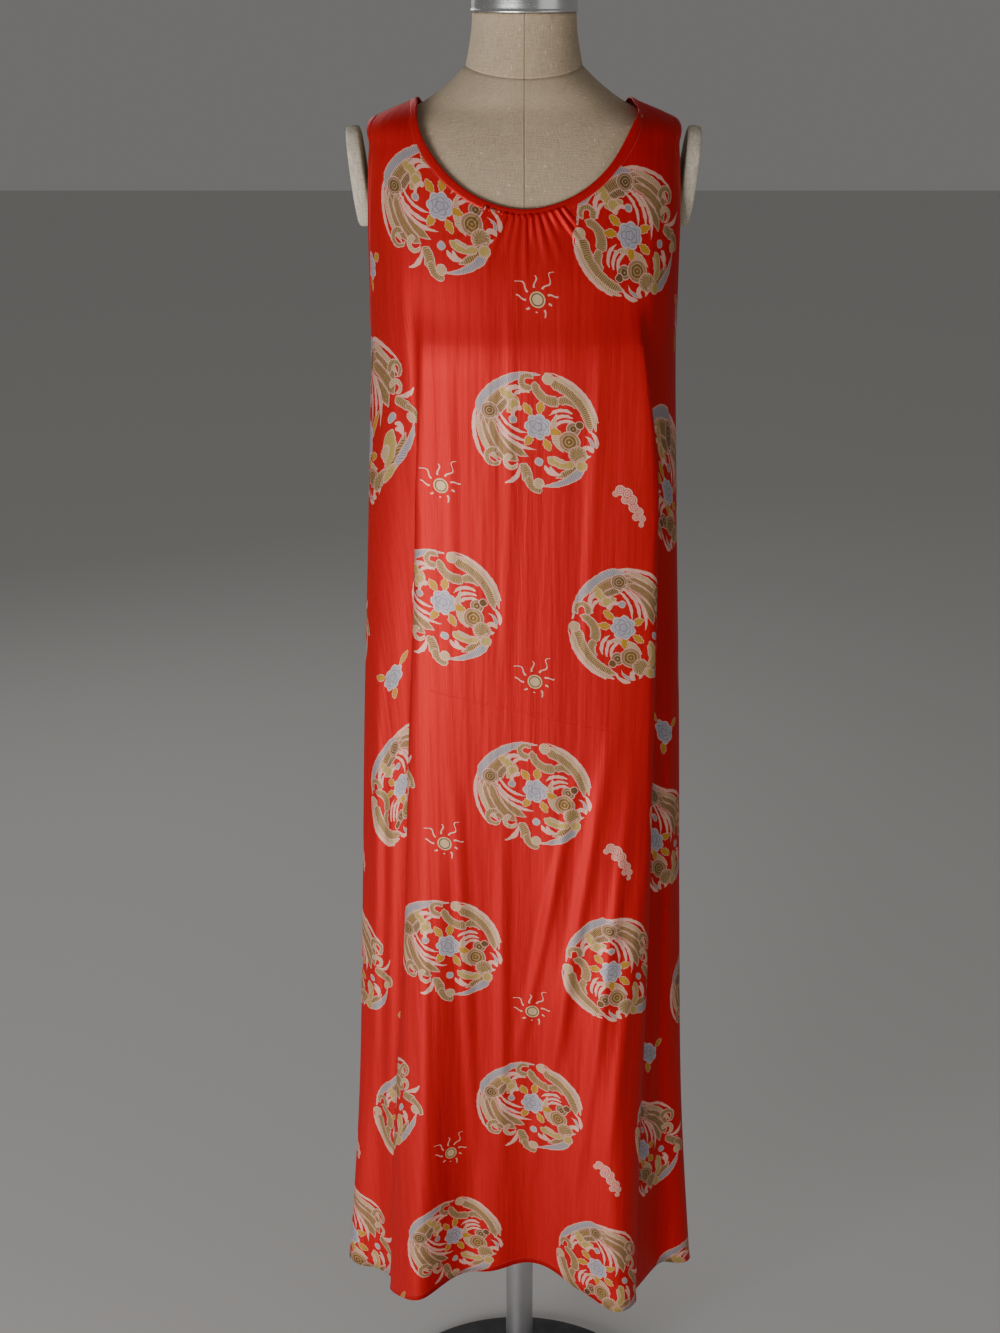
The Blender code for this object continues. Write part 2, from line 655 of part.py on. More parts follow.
def main():
    for obj in list(bpy.data.objects):
        bpy.data.objects.remove(obj, do_unlink=True)
    collection = bpy.data.collections.new("maxi_dress_on_dress_form")
    bpy.context.scene.collection.children.link(collection)
    front = HalfDress(-1, FRONT_FOLDS, FRONT_HEM, FRONT_ROWS)
    back = HalfDress(1, BACK_FOLDS, BACK_HEM, BACK_ROWS)
    build_panel("dress_front", front, collection)
    build_panel("dress_back", back, collection)
    build_strips(front, back, collection)
    build_form(collection)
    build_stand(collection)


if __name__ == "__main__":
    main()
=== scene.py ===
"""A sleeveless red satin maxi dress with printed roundels, on a limbless dress form.

Each piece of the visual model is one operator, and the panel in the sidebar lists them in their order.
The front of the dress faces -Y, +X is to the right of someone who looks at it, and the floor is z = 0.
"""

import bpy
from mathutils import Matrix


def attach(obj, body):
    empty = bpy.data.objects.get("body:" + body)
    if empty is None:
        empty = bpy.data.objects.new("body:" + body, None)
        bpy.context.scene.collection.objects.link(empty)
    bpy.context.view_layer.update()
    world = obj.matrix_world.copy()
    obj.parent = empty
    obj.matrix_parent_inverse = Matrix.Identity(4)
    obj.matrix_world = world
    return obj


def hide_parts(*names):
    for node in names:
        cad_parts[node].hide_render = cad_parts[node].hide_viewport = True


bl_info = {
    "name": "Maxi Dress on a Dress Form",
    "version": (1, 0, 0),
    "blender": (4, 5, 0),
    "location": "3D View > Sidebar > Dress",
    "description": "Builds a printed satin dress on a linen-covered form, with its stand and a studio",
    "category": "Object",
}

import math

import bmesh
import bpy
import numpy as np
from bpy.props import FloatProperty, FloatVectorProperty, IntProperty, PointerProperty

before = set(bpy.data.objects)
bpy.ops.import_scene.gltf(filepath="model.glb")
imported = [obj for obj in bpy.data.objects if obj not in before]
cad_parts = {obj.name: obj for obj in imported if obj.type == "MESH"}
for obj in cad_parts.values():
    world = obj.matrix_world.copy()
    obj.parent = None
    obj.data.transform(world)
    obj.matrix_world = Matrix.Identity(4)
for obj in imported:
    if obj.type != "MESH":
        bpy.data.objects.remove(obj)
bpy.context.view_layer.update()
BODY = "root"
SIDES = (("left", -1), ("right", 1))


def table(keys, rows):
    """Rows of values as dictionaries with these keys."""
    return [dict(zip(keys.split(), row)) for row in rows]


# Sizes that the garment shares with its solids, in metres
SEAM_GAP = 0.0004           # space between the two panels at the side and shoulder seams
NECK_HALF_WIDTH = 0.103     # neck point of the shoulder seam, from the middle
FRONT_NECK_Z = 1.478        # lowest point of the front neckline
BACK_NECK_Z = 1.536
NECK_ROUNDNESS = 1.90       # power of the curve that the neckline follows
NECK_BINDING = 0.0085       # width of the strip along the neckline
ARM_BINDING = 0.0075        # width of the strip along each armhole
BINDING_WALL = 0.0014       # height of the strips over the form, as they are seen
TIP_HALF_WIDTH = 0.151      # outer end of the shoulder seam
UNDERARM_Z = 1.357
ARM_DEPTH_FRONT = 0.042     # how far the armhole's front edge lies before the side line
ARM_DEPTH_BACK = 0.048
ARM_ROUNDNESS = 2.6
GATHER_HALF_WIDTH = 0.040
NECK_RISE = 8.75            # how fast the neckline climbs from its lowest point, per square metre
HEM_Z = 0.230               # where the folds reach their full depth
STEP_WIDTH = 0.0050         # how quickly the front drop turns back at its edge
STEP_OVERHANG = 0.0190      # how far its edge stands out sideways over the side part
STEP_TURN = 0.78            # how far in from there it turns, in shares of the overhang
STEP_REACH = 1.8            # how far the overhang spreads on each side, in shares of STEP_WIDTH
FULL_STEP = 0.022           # depth of step from which the overhang is whole
DROP_SOFTNESS = 0.0090      # how gently the bust turns into the front drop
CROWN = 0.07                # share by which the front drop rounds back at its edges
ARM_PULL_TOP = 5.0          # how quickly the armhole's curve fades across the panel, at the shoulder
ARM_PULL_LOW = 1.8          # and at the underarm

# Sizes of the form and its stand
TORSO_BOTTOM = 0.900
NECK_BASE_Z = 1.604
NECK_TOP_Z = 1.653
NECK_TOP_RADIUS = 0.0505
CAP_RADIUS = 0.0520
CAP_HEIGHT = 0.026
PLATE_Z = 1.499
PLATE_X = 0.1624            # middle of each arm plate
PLATE_THICK = 0.0142
PLATE_HALF_HEIGHT = 0.049
PLATE_HALF_DEPTH = 0.033
PLATE_LEAN = 7.0            # degrees by which its top leans out
POLE_RADIUS = 0.016
COLLAR_RADIUS = 0.038
COLLAR_HEIGHT = 0.050
BASE_RADIUS = 0.180
BASE_HEIGHT = 0.020
HUB_HEIGHT = 0.065
PIECE_GAP = 0.0003          # space between two pieces that stand on each other
TURNED_ROUNDING = 0.0015    # rounding of the corners of turned pieces

# Seams, hems and stitches
PANEL_TUCK = 0.6            # share of a binding's width by which the panel's edge runs under it
SEAM_PULL = 0.0005          # how far a seam draws the cloth in
SEAM_PULL_WIDTH = 0.0025
HEM_LIFT = 0.0007           # the rolled hem stands out by this much
HEM_STITCH_ABOVE = 0.0004   # how far above the rolled hem its stitches run
STITCH_BESIDE = 0.0007      # how far beside a binding its stitches run
STITCH_LIFT = 0.0001        # from the face of the cloth to the middle of a stitch
STITCH_HALF_WIDTH = 0.00024
STITCH_SHAPE = [(-1.0, 0.25), (-0.6, 0.9), (0.6, 0.9), (1.0, 0.25)]     # along it, and thickness there

# Numbers of points and rows in the pieces
SHOULDER_COLUMNS = 9
NECK_SIDE_COLUMNS = 32
GATHER_COLUMNS = 12
BACK_MIDDLE_COLUMNS = 110
ROWS_ABOVE = 56             # above the underarm
ROWS_BELOW = 112            # below it
COLUMN_SHIFT = 0.035        # how far the columns crowd where the front turns back
ROW_POWER_ABOVE = 1.15      # more than 1 crowds the rows at the shoulders
ROW_POWER_BELOW = 0.96      # less than 1 crowds them at the hem
NECK_STRIP_POINTS = 141
ARM_STRIP_POINTS = 81
HEM_STITCH_POINTS = 300
FORM_POINTS = 160
FORM_TURN_Z = 1.300         # above this height the rings of the torso lie closer together
FORM_ROWS_BELOW = 50
FORM_ROWS_ABOVE = 80
NECK_ROWS = 24
PLATE_POINTS = 96
TURNED_POINTS = 128

# How the print hangs: its slope across the front, how far out its sides begin to slip, and how far they
# have slipped sideways and down at some heights
PRINT_TILT = 0.12
PRINT_SIDE_FROM = 0.125
PRINT_SIDE_OVER = 0.085
PRINT_SLIP_HEIGHTS = (0.40, 0.66, 0.84, 1.23, 1.37)
PRINT_SLIPS = (0.000, 0.020, 0.024, -0.034, 0.000)
PRINT_DROPS = (0.063, 0.063, 0.063, 0.063, 0.000)
PRINT_LEFT_DROPS = (0.063, 0.090, 0.063, 0.063, 0.000)

# Looks that hold all over a piece, and sizes of the linen's weave
SATIN_TINT = (1.0, 0.30, 0.28, 1.0)
SATIN_METALLIC = 0.38
PALE_SLUB = (0.86, 0.80, 0.68)
WEAVE = 0.0011
SEAM_GROOVE = 0.0013        # half width of the seam down the middle of the form
CANVAS_CRUMPLE = 6.0        # height of the canvas's crumples beside that of its threads

# Lamps: name, the setting that holds its power, size, place and the point at which it shines
LAMPS = [
    ("key light", "key", 2.0, (-1.60, -2.45, 0.36), (0.0, 0.0, 0.86)),
    ("fill light", "fill", 2.4, (2.6, -2.0, 1.2), (0.0, 0.0, 0.8)),
    ("rim light", "fill", 1.6, (-1.2, 2.4, 2.4), (0.0, 0.0, 1.0)),
]
WORLD_COLOUR = (1.0, 0.985, 0.96, 1.0)
FLOOR_REACH = 14.0
FLOOR_BELOW = 0.0005        # the floor lies this far under the base, so that the two don't flicker
SENSOR_WIDTH = 36.0

# Rings of the bare form. The last rows are the slope of the shoulders up to the neck.
TORSO_RINGS = table("height half_width front back square dip", [
    (0.900, 0.1400, 0.0850, 0.0980, 2.2, 0.0),
    (0.970, 0.1500, 0.0880, 0.1080, 2.2, 0.0),
    (1.060, 0.1420, 0.0840, 0.1000, 2.2, 0.0),
    (1.150, 0.1200, 0.0800, 0.0780, 2.1, 0.0),
    (1.240, 0.1300, 0.0980, 0.0800, 2.2, 0.0),
    (1.300, 0.1430, 0.1180, 0.0880, 2.5, 0.0),
    (1.350, 0.1498, 0.1282, 0.0945, 2.7, 0.0),
    (1.410, 0.1500, 0.1208, 0.0980, 2.8, 0.0),
    (1.460, 0.1505, 0.1050, 0.0970, 2.8, 0.0),
    (1.498, 0.1505, 0.0915, 0.0920, 2.8, 0.0),
    (1.530, 0.1495, 0.0770, 0.0822, 2.5, 0.0),
    (1.5480, 0.1460, 0.0660, 0.0710, 2.3, 0.0),
    (1.5685, 0.1015, 0.0575, 0.0628, 2.1, 0.002),
    (1.588, 0.0740, 0.0575, 0.0605, 2.0, 0.006),
    (1.604, 0.0570, 0.0560, 0.0570, 2.0, 0.010),
])

# Inner face of the dress. Down to the bust it lies on the form, and below it hangs free.
DRESS_RINGS = table("height half_width front back square", [
    (0.200, 0.2058, 0.052, 0.0920, 2.2),
    (0.447, 0.1870, 0.064, 0.0960, 2.3),
    (0.705, 0.1768, 0.073, 0.1020, 2.4),
    (0.944, 0.1690, 0.080, 0.1110, 2.5),
    (1.113, 0.1618, 0.091, 0.1060, 2.6),
    (1.242, 0.1565, 0.111, 0.1010, 2.7),
    (1.300, 0.1540, 0.1235, 0.0985, 2.8),
    (1.350, 0.1528, 0.1290, 0.0970, 2.8),
    (1.410, 0.1535, 0.1222, 0.1005, 2.9),
    (1.460, 0.1552, 0.1074, 0.0994, 2.9),
    (1.498, 0.1556, 0.0940, 0.0944, 2.9),
    (1.530, 0.1550, 0.0814, 0.0866, 2.6),
    (1.552, 0.1510, 0.0712, 0.0766, 2.3),
    (1.573, 0.1050, 0.0625, 0.0680, 2.1),
])

# Depth of the flat front between the two long folds, and how far from the middle those folds lie
FRONT_DROP = table("height drop left_edge right_edge", [
    (0.200, 0.0720, 0.152, 0.133),
    (0.447, 0.0980, 0.142, 0.133),
    (0.705, 0.1100, 0.126, 0.136),
    (0.944, 0.1170, 0.117, 0.135),
    (1.113, 0.1205, 0.109, 0.134),
    (1.242, 0.1250, 0.105, 0.130),
    (1.300, 0.1280, 0.103, 0.122),
    (1.350, 0.1290, 0.101, 0.115),
    (1.410, 0.0900, 0.100, 0.110),
    (1.573, 0.0500, 0.100, 0.110),
])

# Folds that run down a panel. across and across_hem are places from the middle, at the start of the
# fold and at the hem; out is how far the cloth stands out at the hem, and power how late that comes.
FRONT_FOLDS = table("name start across across_hem half_width out power", [
    ("left roll", 1.0500, -0.085, -0.119, 0.036, 0.031, 1.6),
    ("left inner trough", 0.8500, -0.045, -0.062, 0.034, -0.016, 1.5),
    ("middle trough", 0.9500, 0.000, 0.012, 0.062, -0.026, 1.8),
    ("slanting crease", 1.0200, 0.022, 0.066, 0.026, 0.010, 1.0),
    ("right roll", 1.0500, 0.080, 0.112, 0.046, 0.040, 1.6),
    ("left side hollow", 0.9000, -0.150, -0.170, 0.026, -0.012, 1.2),
    ("right side hollow", 0.9000, 0.148, 0.166, 0.026, -0.014, 1.2),
])
BACK_FOLDS = table("name start across across_hem half_width out power", [
    ("left outer roll", 1.2000, -0.110, -0.140, 0.040, 0.024, 1.1),
    ("left trough", 1.2000, -0.062, -0.078, 0.042, -0.026, 1.1),
    ("middle roll", 1.3000, 0.004, 0.000, 0.050, 0.022, 1.1),
    ("right trough", 1.2000, 0.066, 0.080, 0.042, -0.026, 1.1),
    ("right outer roll", 1.2000, 0.112, 0.142, 0.040, 0.024, 1.1),
])

# Shallow creases between two points of a panel, each a place across and a height; out is its ridge
FRONT_CREASES = table("name top_x top_z low_x low_z half_width out", [
    ("long slanting ridge", 0.092, 0.960, 0.012, 0.400, 0.0100, 0.0042),
    ("slanting ridge beside it", 0.118, 0.930, 0.060, 0.380, 0.0085, 0.0034),
    ("short slanting ridge", 0.060, 0.930, -0.004, 0.560, 0.0075, 0.0028),
    ("outer slanting ridge", 0.128, 0.800, 0.095, 0.420, 0.0080, 0.0034),
    ("left slack ridge", -0.070, 0.900, -0.052, 0.420, 0.0085, 0.0026),
    ("left edge ridge", -0.100, 1.000, -0.108, 0.420, 0.0070, 0.0022),
    ("middle slack ridge", -0.020, 0.860, -0.022, 0.380, 0.0090, 0.0026),
    ("left side ridge", -0.150, 1.060, -0.168, 0.420, 0.0080, 0.0030),
    ("left side second ridge", -0.136, 0.900, -0.156, 0.300, 0.0080, 0.0030),
    ("right side ridge", 0.154, 1.060, 0.168, 0.400, 0.0080, 0.0030),
    ("right side second ridge", 0.146, 0.800, 0.152, 0.300, 0.0080, 0.0026),
    ("left armhole pull", -0.118, 1.470, -0.108, 1.180, 0.0080, 0.0016),
    ("right armhole pull", 0.122, 1.480, 0.118, 1.200, 0.0090, 0.0018),
    ("left chest pull", -0.075, 1.400, -0.070, 1.060, 0.0070, 0.0010),
    ("right chest pull", 0.072, 1.380, 0.064, 1.020, 0.0080, 0.0011),
    ("middle chest pull", -0.012, 1.380, -0.018, 1.000, 0.0070, 0.0009),
])
BACK_CREASES = table("name top_x top_z low_x low_z half_width out", [
    ("left blade ridge", -0.085, 1.420, -0.092, 0.900, 0.0100, 0.0016),
    ("right blade ridge", 0.080, 1.420, 0.086, 0.880, 0.0100, 0.0016),
    ("left waist ridge", -0.034, 1.200, -0.044, 0.420, 0.0090, 0.0028),
    ("right waist ridge", 0.030, 1.180, 0.046, 0.400, 0.0090, 0.0028),
    ("left side ridge", -0.148, 1.000, -0.168, 0.360, 0.0090, 0.0028),
    ("right side ridge", 0.150, 1.000, 0.170, 0.360, 0.0090, 0.0028),
    ("left seat slant", -0.110, 1.000, -0.070, 0.500, 0.0090, 0.0024),
    ("right seat slant", 0.112, 0.960, 0.074, 0.480, 0.0090, 0.0024),
])

# Height of the hem's edge at places across the panel
FRONT_HEM = table("across height", [
    (-0.210, 0.238),
    (-0.160, 0.232),
    (-0.118, 0.248),
    (-0.060, 0.256),
    (0.012, 0.265),
    (0.060, 0.253),
    (0.112, 0.237),
    (0.155, 0.238),
    (0.170, 0.240),
    (0.210, 0.232),
])
BACK_HEM = table("across height", [
    (-0.210, 0.238),
    (-0.135, 0.229),
    (-0.075, 0.236),
    (0.000, 0.230),
    (0.075, 0.236),
    (0.135, 0.229),
    (0.210, 0.232),
])

# Cross-section of a folded bias strip: share of its width, and height in shares of its wall
BINDING_SECTION = [
    (0.02, 0.00), (-0.03, 0.45), (0.04, 0.90), (0.22, 1.02), (0.50, 1.00),
    (0.80, 1.04), (0.95, 0.85), (1.00, 0.40), (0.94, 0.00),
]

# Rings of an arm plate from its inner to its outer face: how far inside its rim, and height in shares of
# its thickness from the middle
PLATE_SECTION = [
    (0.0160, -0.47), (0.0045, -0.50), (0.0015, -0.44), (0.0004, -0.30), (0.0000, 0.00),
    (0.0004, 0.30), (0.0015, 0.44), (0.0040, 0.50), (0.0065, 0.47), (0.0080, 0.41), (0.0200, 0.40),
]


class DressSizes(bpy.types.PropertyGroup):
    """Sizes of the cloth that someone may wish to change."""

    cloth: FloatProperty(
        name="Cloth thickness", description="Wall of the two panels", default=0.0009,
        min=0.0003, max=0.003, precision=4, unit="LENGTH")
    gathers: IntProperty(
        name="Gathers", description="Small gathers under the front neckline", default=13, min=3, max=30)
    gather_height: FloatProperty(
        name="Gather height", description="How far a gather stands out", default=0.0030,
        min=0.0, max=0.005, precision=4, unit="LENGTH")
    gather_length: FloatProperty(
        name="Gather length", description="How far down the gathers run", default=0.062,
        min=0.01, max=0.12, unit="LENGTH")
    hem: FloatProperty(
        name="Hem", description="Height of the rolled hem", default=0.0065,
        min=0.002, max=0.03, precision=4, unit="LENGTH")
    stitch: FloatProperty(
        name="Stitch", description="Length of one stitch", default=0.0022,
        min=0.001, max=0.006, precision=4, unit="LENGTH")
    stitch_pitch: FloatProperty(
        name="Stitch spacing", description="From one stitch to the next", default=0.0031,
        min=0.0015, max=0.01, precision=4, unit="LENGTH")


class PrintColours(bpy.types.PropertyGroup):
    """Colours of the satin and its print."""

    ground: FloatVectorProperty(
        name="Ground", description="Red of the satin", default=(0.57, 0.012, 0.014),
        min=0.0, max=1.0, subtype="COLOR")
    outline: FloatVectorProperty(
        name="Outline", description="Pale pink line round each motif", default=(0.76, 0.42, 0.34),
        min=0.0, max=1.0, subtype="COLOR")
    cream: FloatVectorProperty(
        name="Cream", description="Lightest parts of the creatures", default=(0.62, 0.44, 0.25),
        min=0.0, max=1.0, subtype="COLOR")
    tan: FloatVectorProperty(
        name="Tan", description="Plumes and body of the bird", default=(0.20, 0.106, 0.028),
        min=0.0, max=1.0, subtype="COLOR")
    khaki: FloatVectorProperty(
        name="Khaki", description="Scales of the dragon", default=(0.225, 0.138, 0.047),
        min=0.0, max=1.0, subtype="COLOR")
    taupe: FloatVectorProperty(
        name="Taupe", description="Wing feathers", default=(0.14, 0.080, 0.030),
        min=0.0, max=1.0, subtype="COLOR")
    lavender: FloatVectorProperty(
        name="Lavender", description="Petals of the peony", default=(0.37, 0.355, 0.395),
        min=0.0, max=1.0, subtype="COLOR")
    leaf: FloatVectorProperty(
        name="Leaf", description="Gold leaves", default=(0.50, 0.26, 0.030),
        min=0.0, max=1.0, subtype="COLOR")
    head: FloatVectorProperty(
        name="Head", description="Yellow green of the heads", default=(0.42, 0.30, 0.06),
        min=0.0, max=1.0, subtype="COLOR")


class FormColours(bpy.types.PropertyGroup):
    """Colours of the form and its stand."""

    linen: FloatVectorProperty(
        name="Linen", description="Cover of the torso and neck", default=(0.65, 0.50, 0.335),
        min=0.0, max=1.0, subtype="COLOR")
    slub: FloatVectorProperty(
        name="Slub", description="Darker threads in the linen", default=(0.32, 0.22, 0.12),
        min=0.0, max=1.0, subtype="COLOR")
    canvas: FloatVectorProperty(
        name="Canvas", description="Cover of the arm plates", default=(0.82, 0.74, 0.60),
        min=0.0, max=1.0, subtype="COLOR")
    aluminium: FloatVectorProperty(
        name="Aluminium", description="Neck cap", default=(0.80, 0.80, 0.79),
        min=0.0, max=1.0, subtype="COLOR")
    enamel: FloatVectorProperty(
        name="Enamel", description="Base, hub and collar", default=(0.022, 0.022, 0.024),
        min=0.0, max=1.0, subtype="COLOR")
    steel: FloatVectorProperty(
        name="Steel", description="Pole", default=(0.56, 0.56, 0.57),
        min=0.0, max=1.0, subtype="COLOR")


class StudioSettings(bpy.types.PropertyGroup):
    """Camera, light and floor."""

    lens: FloatProperty(
        name="Lens", description="Focal length", default=54.0, min=10.0, max=300.0, unit="CAMERA")
    camera: FloatVectorProperty(
        name="Camera", description="Place of the camera", default=(-0.0235, -2.03, 1.70),
        subtype="TRANSLATION", unit="LENGTH")
    pitch: FloatProperty(
        name="Pitch", description="How far the camera looks down", default=math.atan(0.353),
        subtype="ANGLE", unit="ROTATION")
    key: FloatProperty(
        name="Key light", description="Power of the large lamp on the left", default=124.0,
        min=0.0, unit="POWER")
    fill: FloatProperty(
        name="Fill light", description="Power of the lamp on the right", default=10.0,
        min=0.0, unit="POWER")
    world: FloatProperty(name="World", description="Strength of the soft surrounding light", default=0.16,
                         min=0.0)
    floor: FloatVectorProperty(
        name="Floor", description="Pale floor", default=(0.72, 0.71, 0.69),
        min=0.0, max=1.0, subtype="COLOR")


class Number:
    """A number's socket. Python's operators on it add Math nodes to its material."""

    def __init__(self, finish, socket):
        self.finish = finish
        self.socket = socket

    def math(self, operation, *others):
        return self.finish.math(operation, self, *others)

    def reflected(self, operation, other):
        return self.finish.math(operation, other, self)

    def __add__(self, other):
        return self.math("ADD", other)

    def __radd__(self, other):
        return self.reflected("ADD", other)

    def __sub__(self, other):
        return self.math("SUBTRACT", other)

    def __rsub__(self, other):
        return self.reflected("SUBTRACT", other)

    def __mul__(self, other):
        return self.math("MULTIPLY", other)

    def __rmul__(self, other):
        return self.reflected("MULTIPLY", other)

    def __truediv__(self, other):
        return self.math("DIVIDE", other)

    def __pow__(self, other):
        return self.math("POWER", other)

    def __lt__(self, other):
        return self.math("LESS_THAN", other)

    def __gt__(self, other):
        return self.math("GREATER_THAN", other)

    def __abs__(self):
        return self.math("ABSOLUTE")

    def near(self, other, reach):
        """1 where the two differ by no more than reach."""
        return self.math("COMPARE", other, reach)

    def fract(self):
        return self.math("FRACT")

    def floor(self):
        return self.math("FLOOR")

    def sin(self):
        return self.math("SINE")

    def least(self, other):
        return self.math("MINIMUM", other)

    def most(self, other):
        return self.math("MAXIMUM", other)

    def either(self, other):
        """1 where one mask or the other is."""
        return self.math("MAXIMUM", other)

    def direction(self, x):
        """Angle of the point whose x is given and whose y this is."""
        return self.math("ARCTAN2", x)

    def wrapped(self, low, high):
        return self.math("WRAP", high, low)


class Finish:
    """A new material with the means to add nodes to it."""

    def __init__(self, name):
        self.material = bpy.data.materials.new(name)
        self.material.use_nodes = True
        self.tree = self.material.node_tree
        self.tree.nodes.clear()
        self.made = {}

    def node(self, kind, settings, values):
        """A node with its settings set first, and then a value or a link for each socket. A node that was
        asked for before is handed out again, which keeps the shader small enough to run."""
        plain = tuple((key, getattr(value, "socket", value)) for key, value in values.items())
        wanted = (kind, repr(settings), plain)
        if wanted in self.made:
            return self.made[wanted]
        node = self.tree.nodes.new(kind)
        for key, value in settings.items():
            setattr(node, key, value)
        for key, value in plain:
            self.plug(node.inputs[key], value)
        self.made[wanted] = node
        return node

    def plug(self, socket, value):
        value = getattr(value, "socket", value)
        if isinstance(value, bpy.types.NodeSocket):
            self.tree.links.new(value, socket)
        elif socket.type == "RGBA" and len(value) == 3:
            socket.default_value = (*value, 1.0)
        else:
            socket.default_value = value

    def number(self, socket):
        return Number(self, socket)

    def math(self, operation, *values):
        node = self.node("ShaderNodeMath", {"operation": operation}, dict(enumerate(values)))
        return self.number(node.outputs[0])

    def mix(self, mask, under, over):
        """The colour over where the mask is 1, and under elsewhere."""
        node = self.node("ShaderNodeMix", {"data_type": "RGBA"}, {0: mask, 6: under, 7: over})
        return node.outputs[2]

    def ramp(self, number, start, end, low=0.0, high=1.0):
        """From start to end as the number goes from low to high, and level beyond."""
        values = {"Value": number, "From Min": low, "From Max": high, "To Min": start, "To Max": end}
        return self.number(self.node("ShaderNodeMapRange", {}, values).outputs[0])

    def uv(self):
        """Place on the flat cloth."""
        return self.node("ShaderNodeUVMap", {"uv_map": "cloth"}, {}).outputs[0]

    def place(self):
        """Place in space, for pieces that aren't cloth."""
        return self.node("ShaderNodeTexCoord", {}, {}).outputs["Object"]

    def along(self, vector, direction):
        """How far the vector goes in this direction."""
        node = self.node("ShaderNodeVectorMath", {"operation": "DOT_PRODUCT"}, {0: vector, 1: direction})
        return self.number(node.outputs["Value"])

    def parts(self, vector):
        """Its x and y."""
        return self.along(vector, (1.0, 0.0, 0.0)), self.along(vector, (0.0, 1.0, 0.0))

    def vector(self, x, y):
        return self.node("ShaderNodeCombineXYZ", {}, {0: x, 1: y, 2: 0.0}).outputs[0]

    def shifted(self, vector, by):
        node = self.node("ShaderNodeVectorMath", {"operation": "SUBTRACT"}, {0: vector, 1: by})
        return node.outputs[0]

    def stretched(self, vector, by):
        node = self.node("ShaderNodeVectorMath", {"operation": "MULTIPLY"}, {0: vector, 1: by})
        return node.outputs[0]

    def length(self, vector):
        node = self.node("ShaderNodeVectorMath", {"operation": "LENGTH"}, {0: vector})
        return self.number(node.outputs["Value"])

    def turned(self, vector, angle):
        values = {"Vector": vector, "Angle": angle}
        return self.node("ShaderNodeVectorRotate", {"rotation_type": "Z_AXIS"}, values).outputs[0]

    def noise(self, vector, scale, detail=2.0, roughness=0.5):
        values = {"Vector": vector, "Scale": scale, "Detail": detail, "Roughness": roughness}
        return self.number(self.node("ShaderNodeTexNoise", {}, values).outputs[0])

    def bump(self, height, distance, strength):
        values = {"Height": height, "Distance": distance, "Strength": strength}
        return self.node("ShaderNodeBump", {}, values).outputs[0]

    def coat(self, values):
        return self.node("ShaderNodeBsdfPrincipled", {}, values).outputs[0]

    def choose_coat(self, mask, outside, inside):
        return self.node("ShaderNodeMixShader", {}, {0: mask, 1: outside, 2: inside}).outputs[0]

    def show(self, coat):
        self.node("ShaderNodeOutputMaterial", {}, {"Surface": coat})
        return self.material

    def surface(self, **values):
        """One shader all over, with values for its sockets, by names with _ for each space."""
        return self.show(self.coat({key.replace("_", " "): value for key, value in values.items()}))


def smooth_value(table, column, at, key="height"):
    """Reads a column of a table at any height, on a smooth curve through its rows."""
    x = np.array([row[key] for row in table])
    y = np.array([row[column] for row in table])
    slope = np.gradient(y, x)
    at = np.clip(np.asarray(at, float), x[0], x[-1])
    i = np.clip(np.searchsorted(x, at) - 1, 0, len(x) - 2)
    span = x[i + 1] - x[i]
    t = (at - x[i]) / span
    return (
        (2 * t**3 - 3 * t**2 + 1) * y[i]
        + (t**3 - 2 * t**2 + t) * span * slope[i]
        + (3 * t**2 - 2 * t**3) * y[i + 1]
        + (t**3 - t**2) * span * slope[i + 1]
    )


def ring_point(table, angle, height, side):
    """Plan position on a half ring: angle 0 is its middle, and side is -1 for the front, 1 for the back."""
    power = 2 / smooth_value(table, "square", height)
    wide = smooth_value(table, "half_width", height)
    deep = smooth_value(table, "front" if side < 0 else "back", height)
    x = wide * np.sign(np.sin(angle)) * np.abs(np.sin(angle)) ** power
    y = side * deep * np.abs(np.cos(angle)) ** power
    return x, y


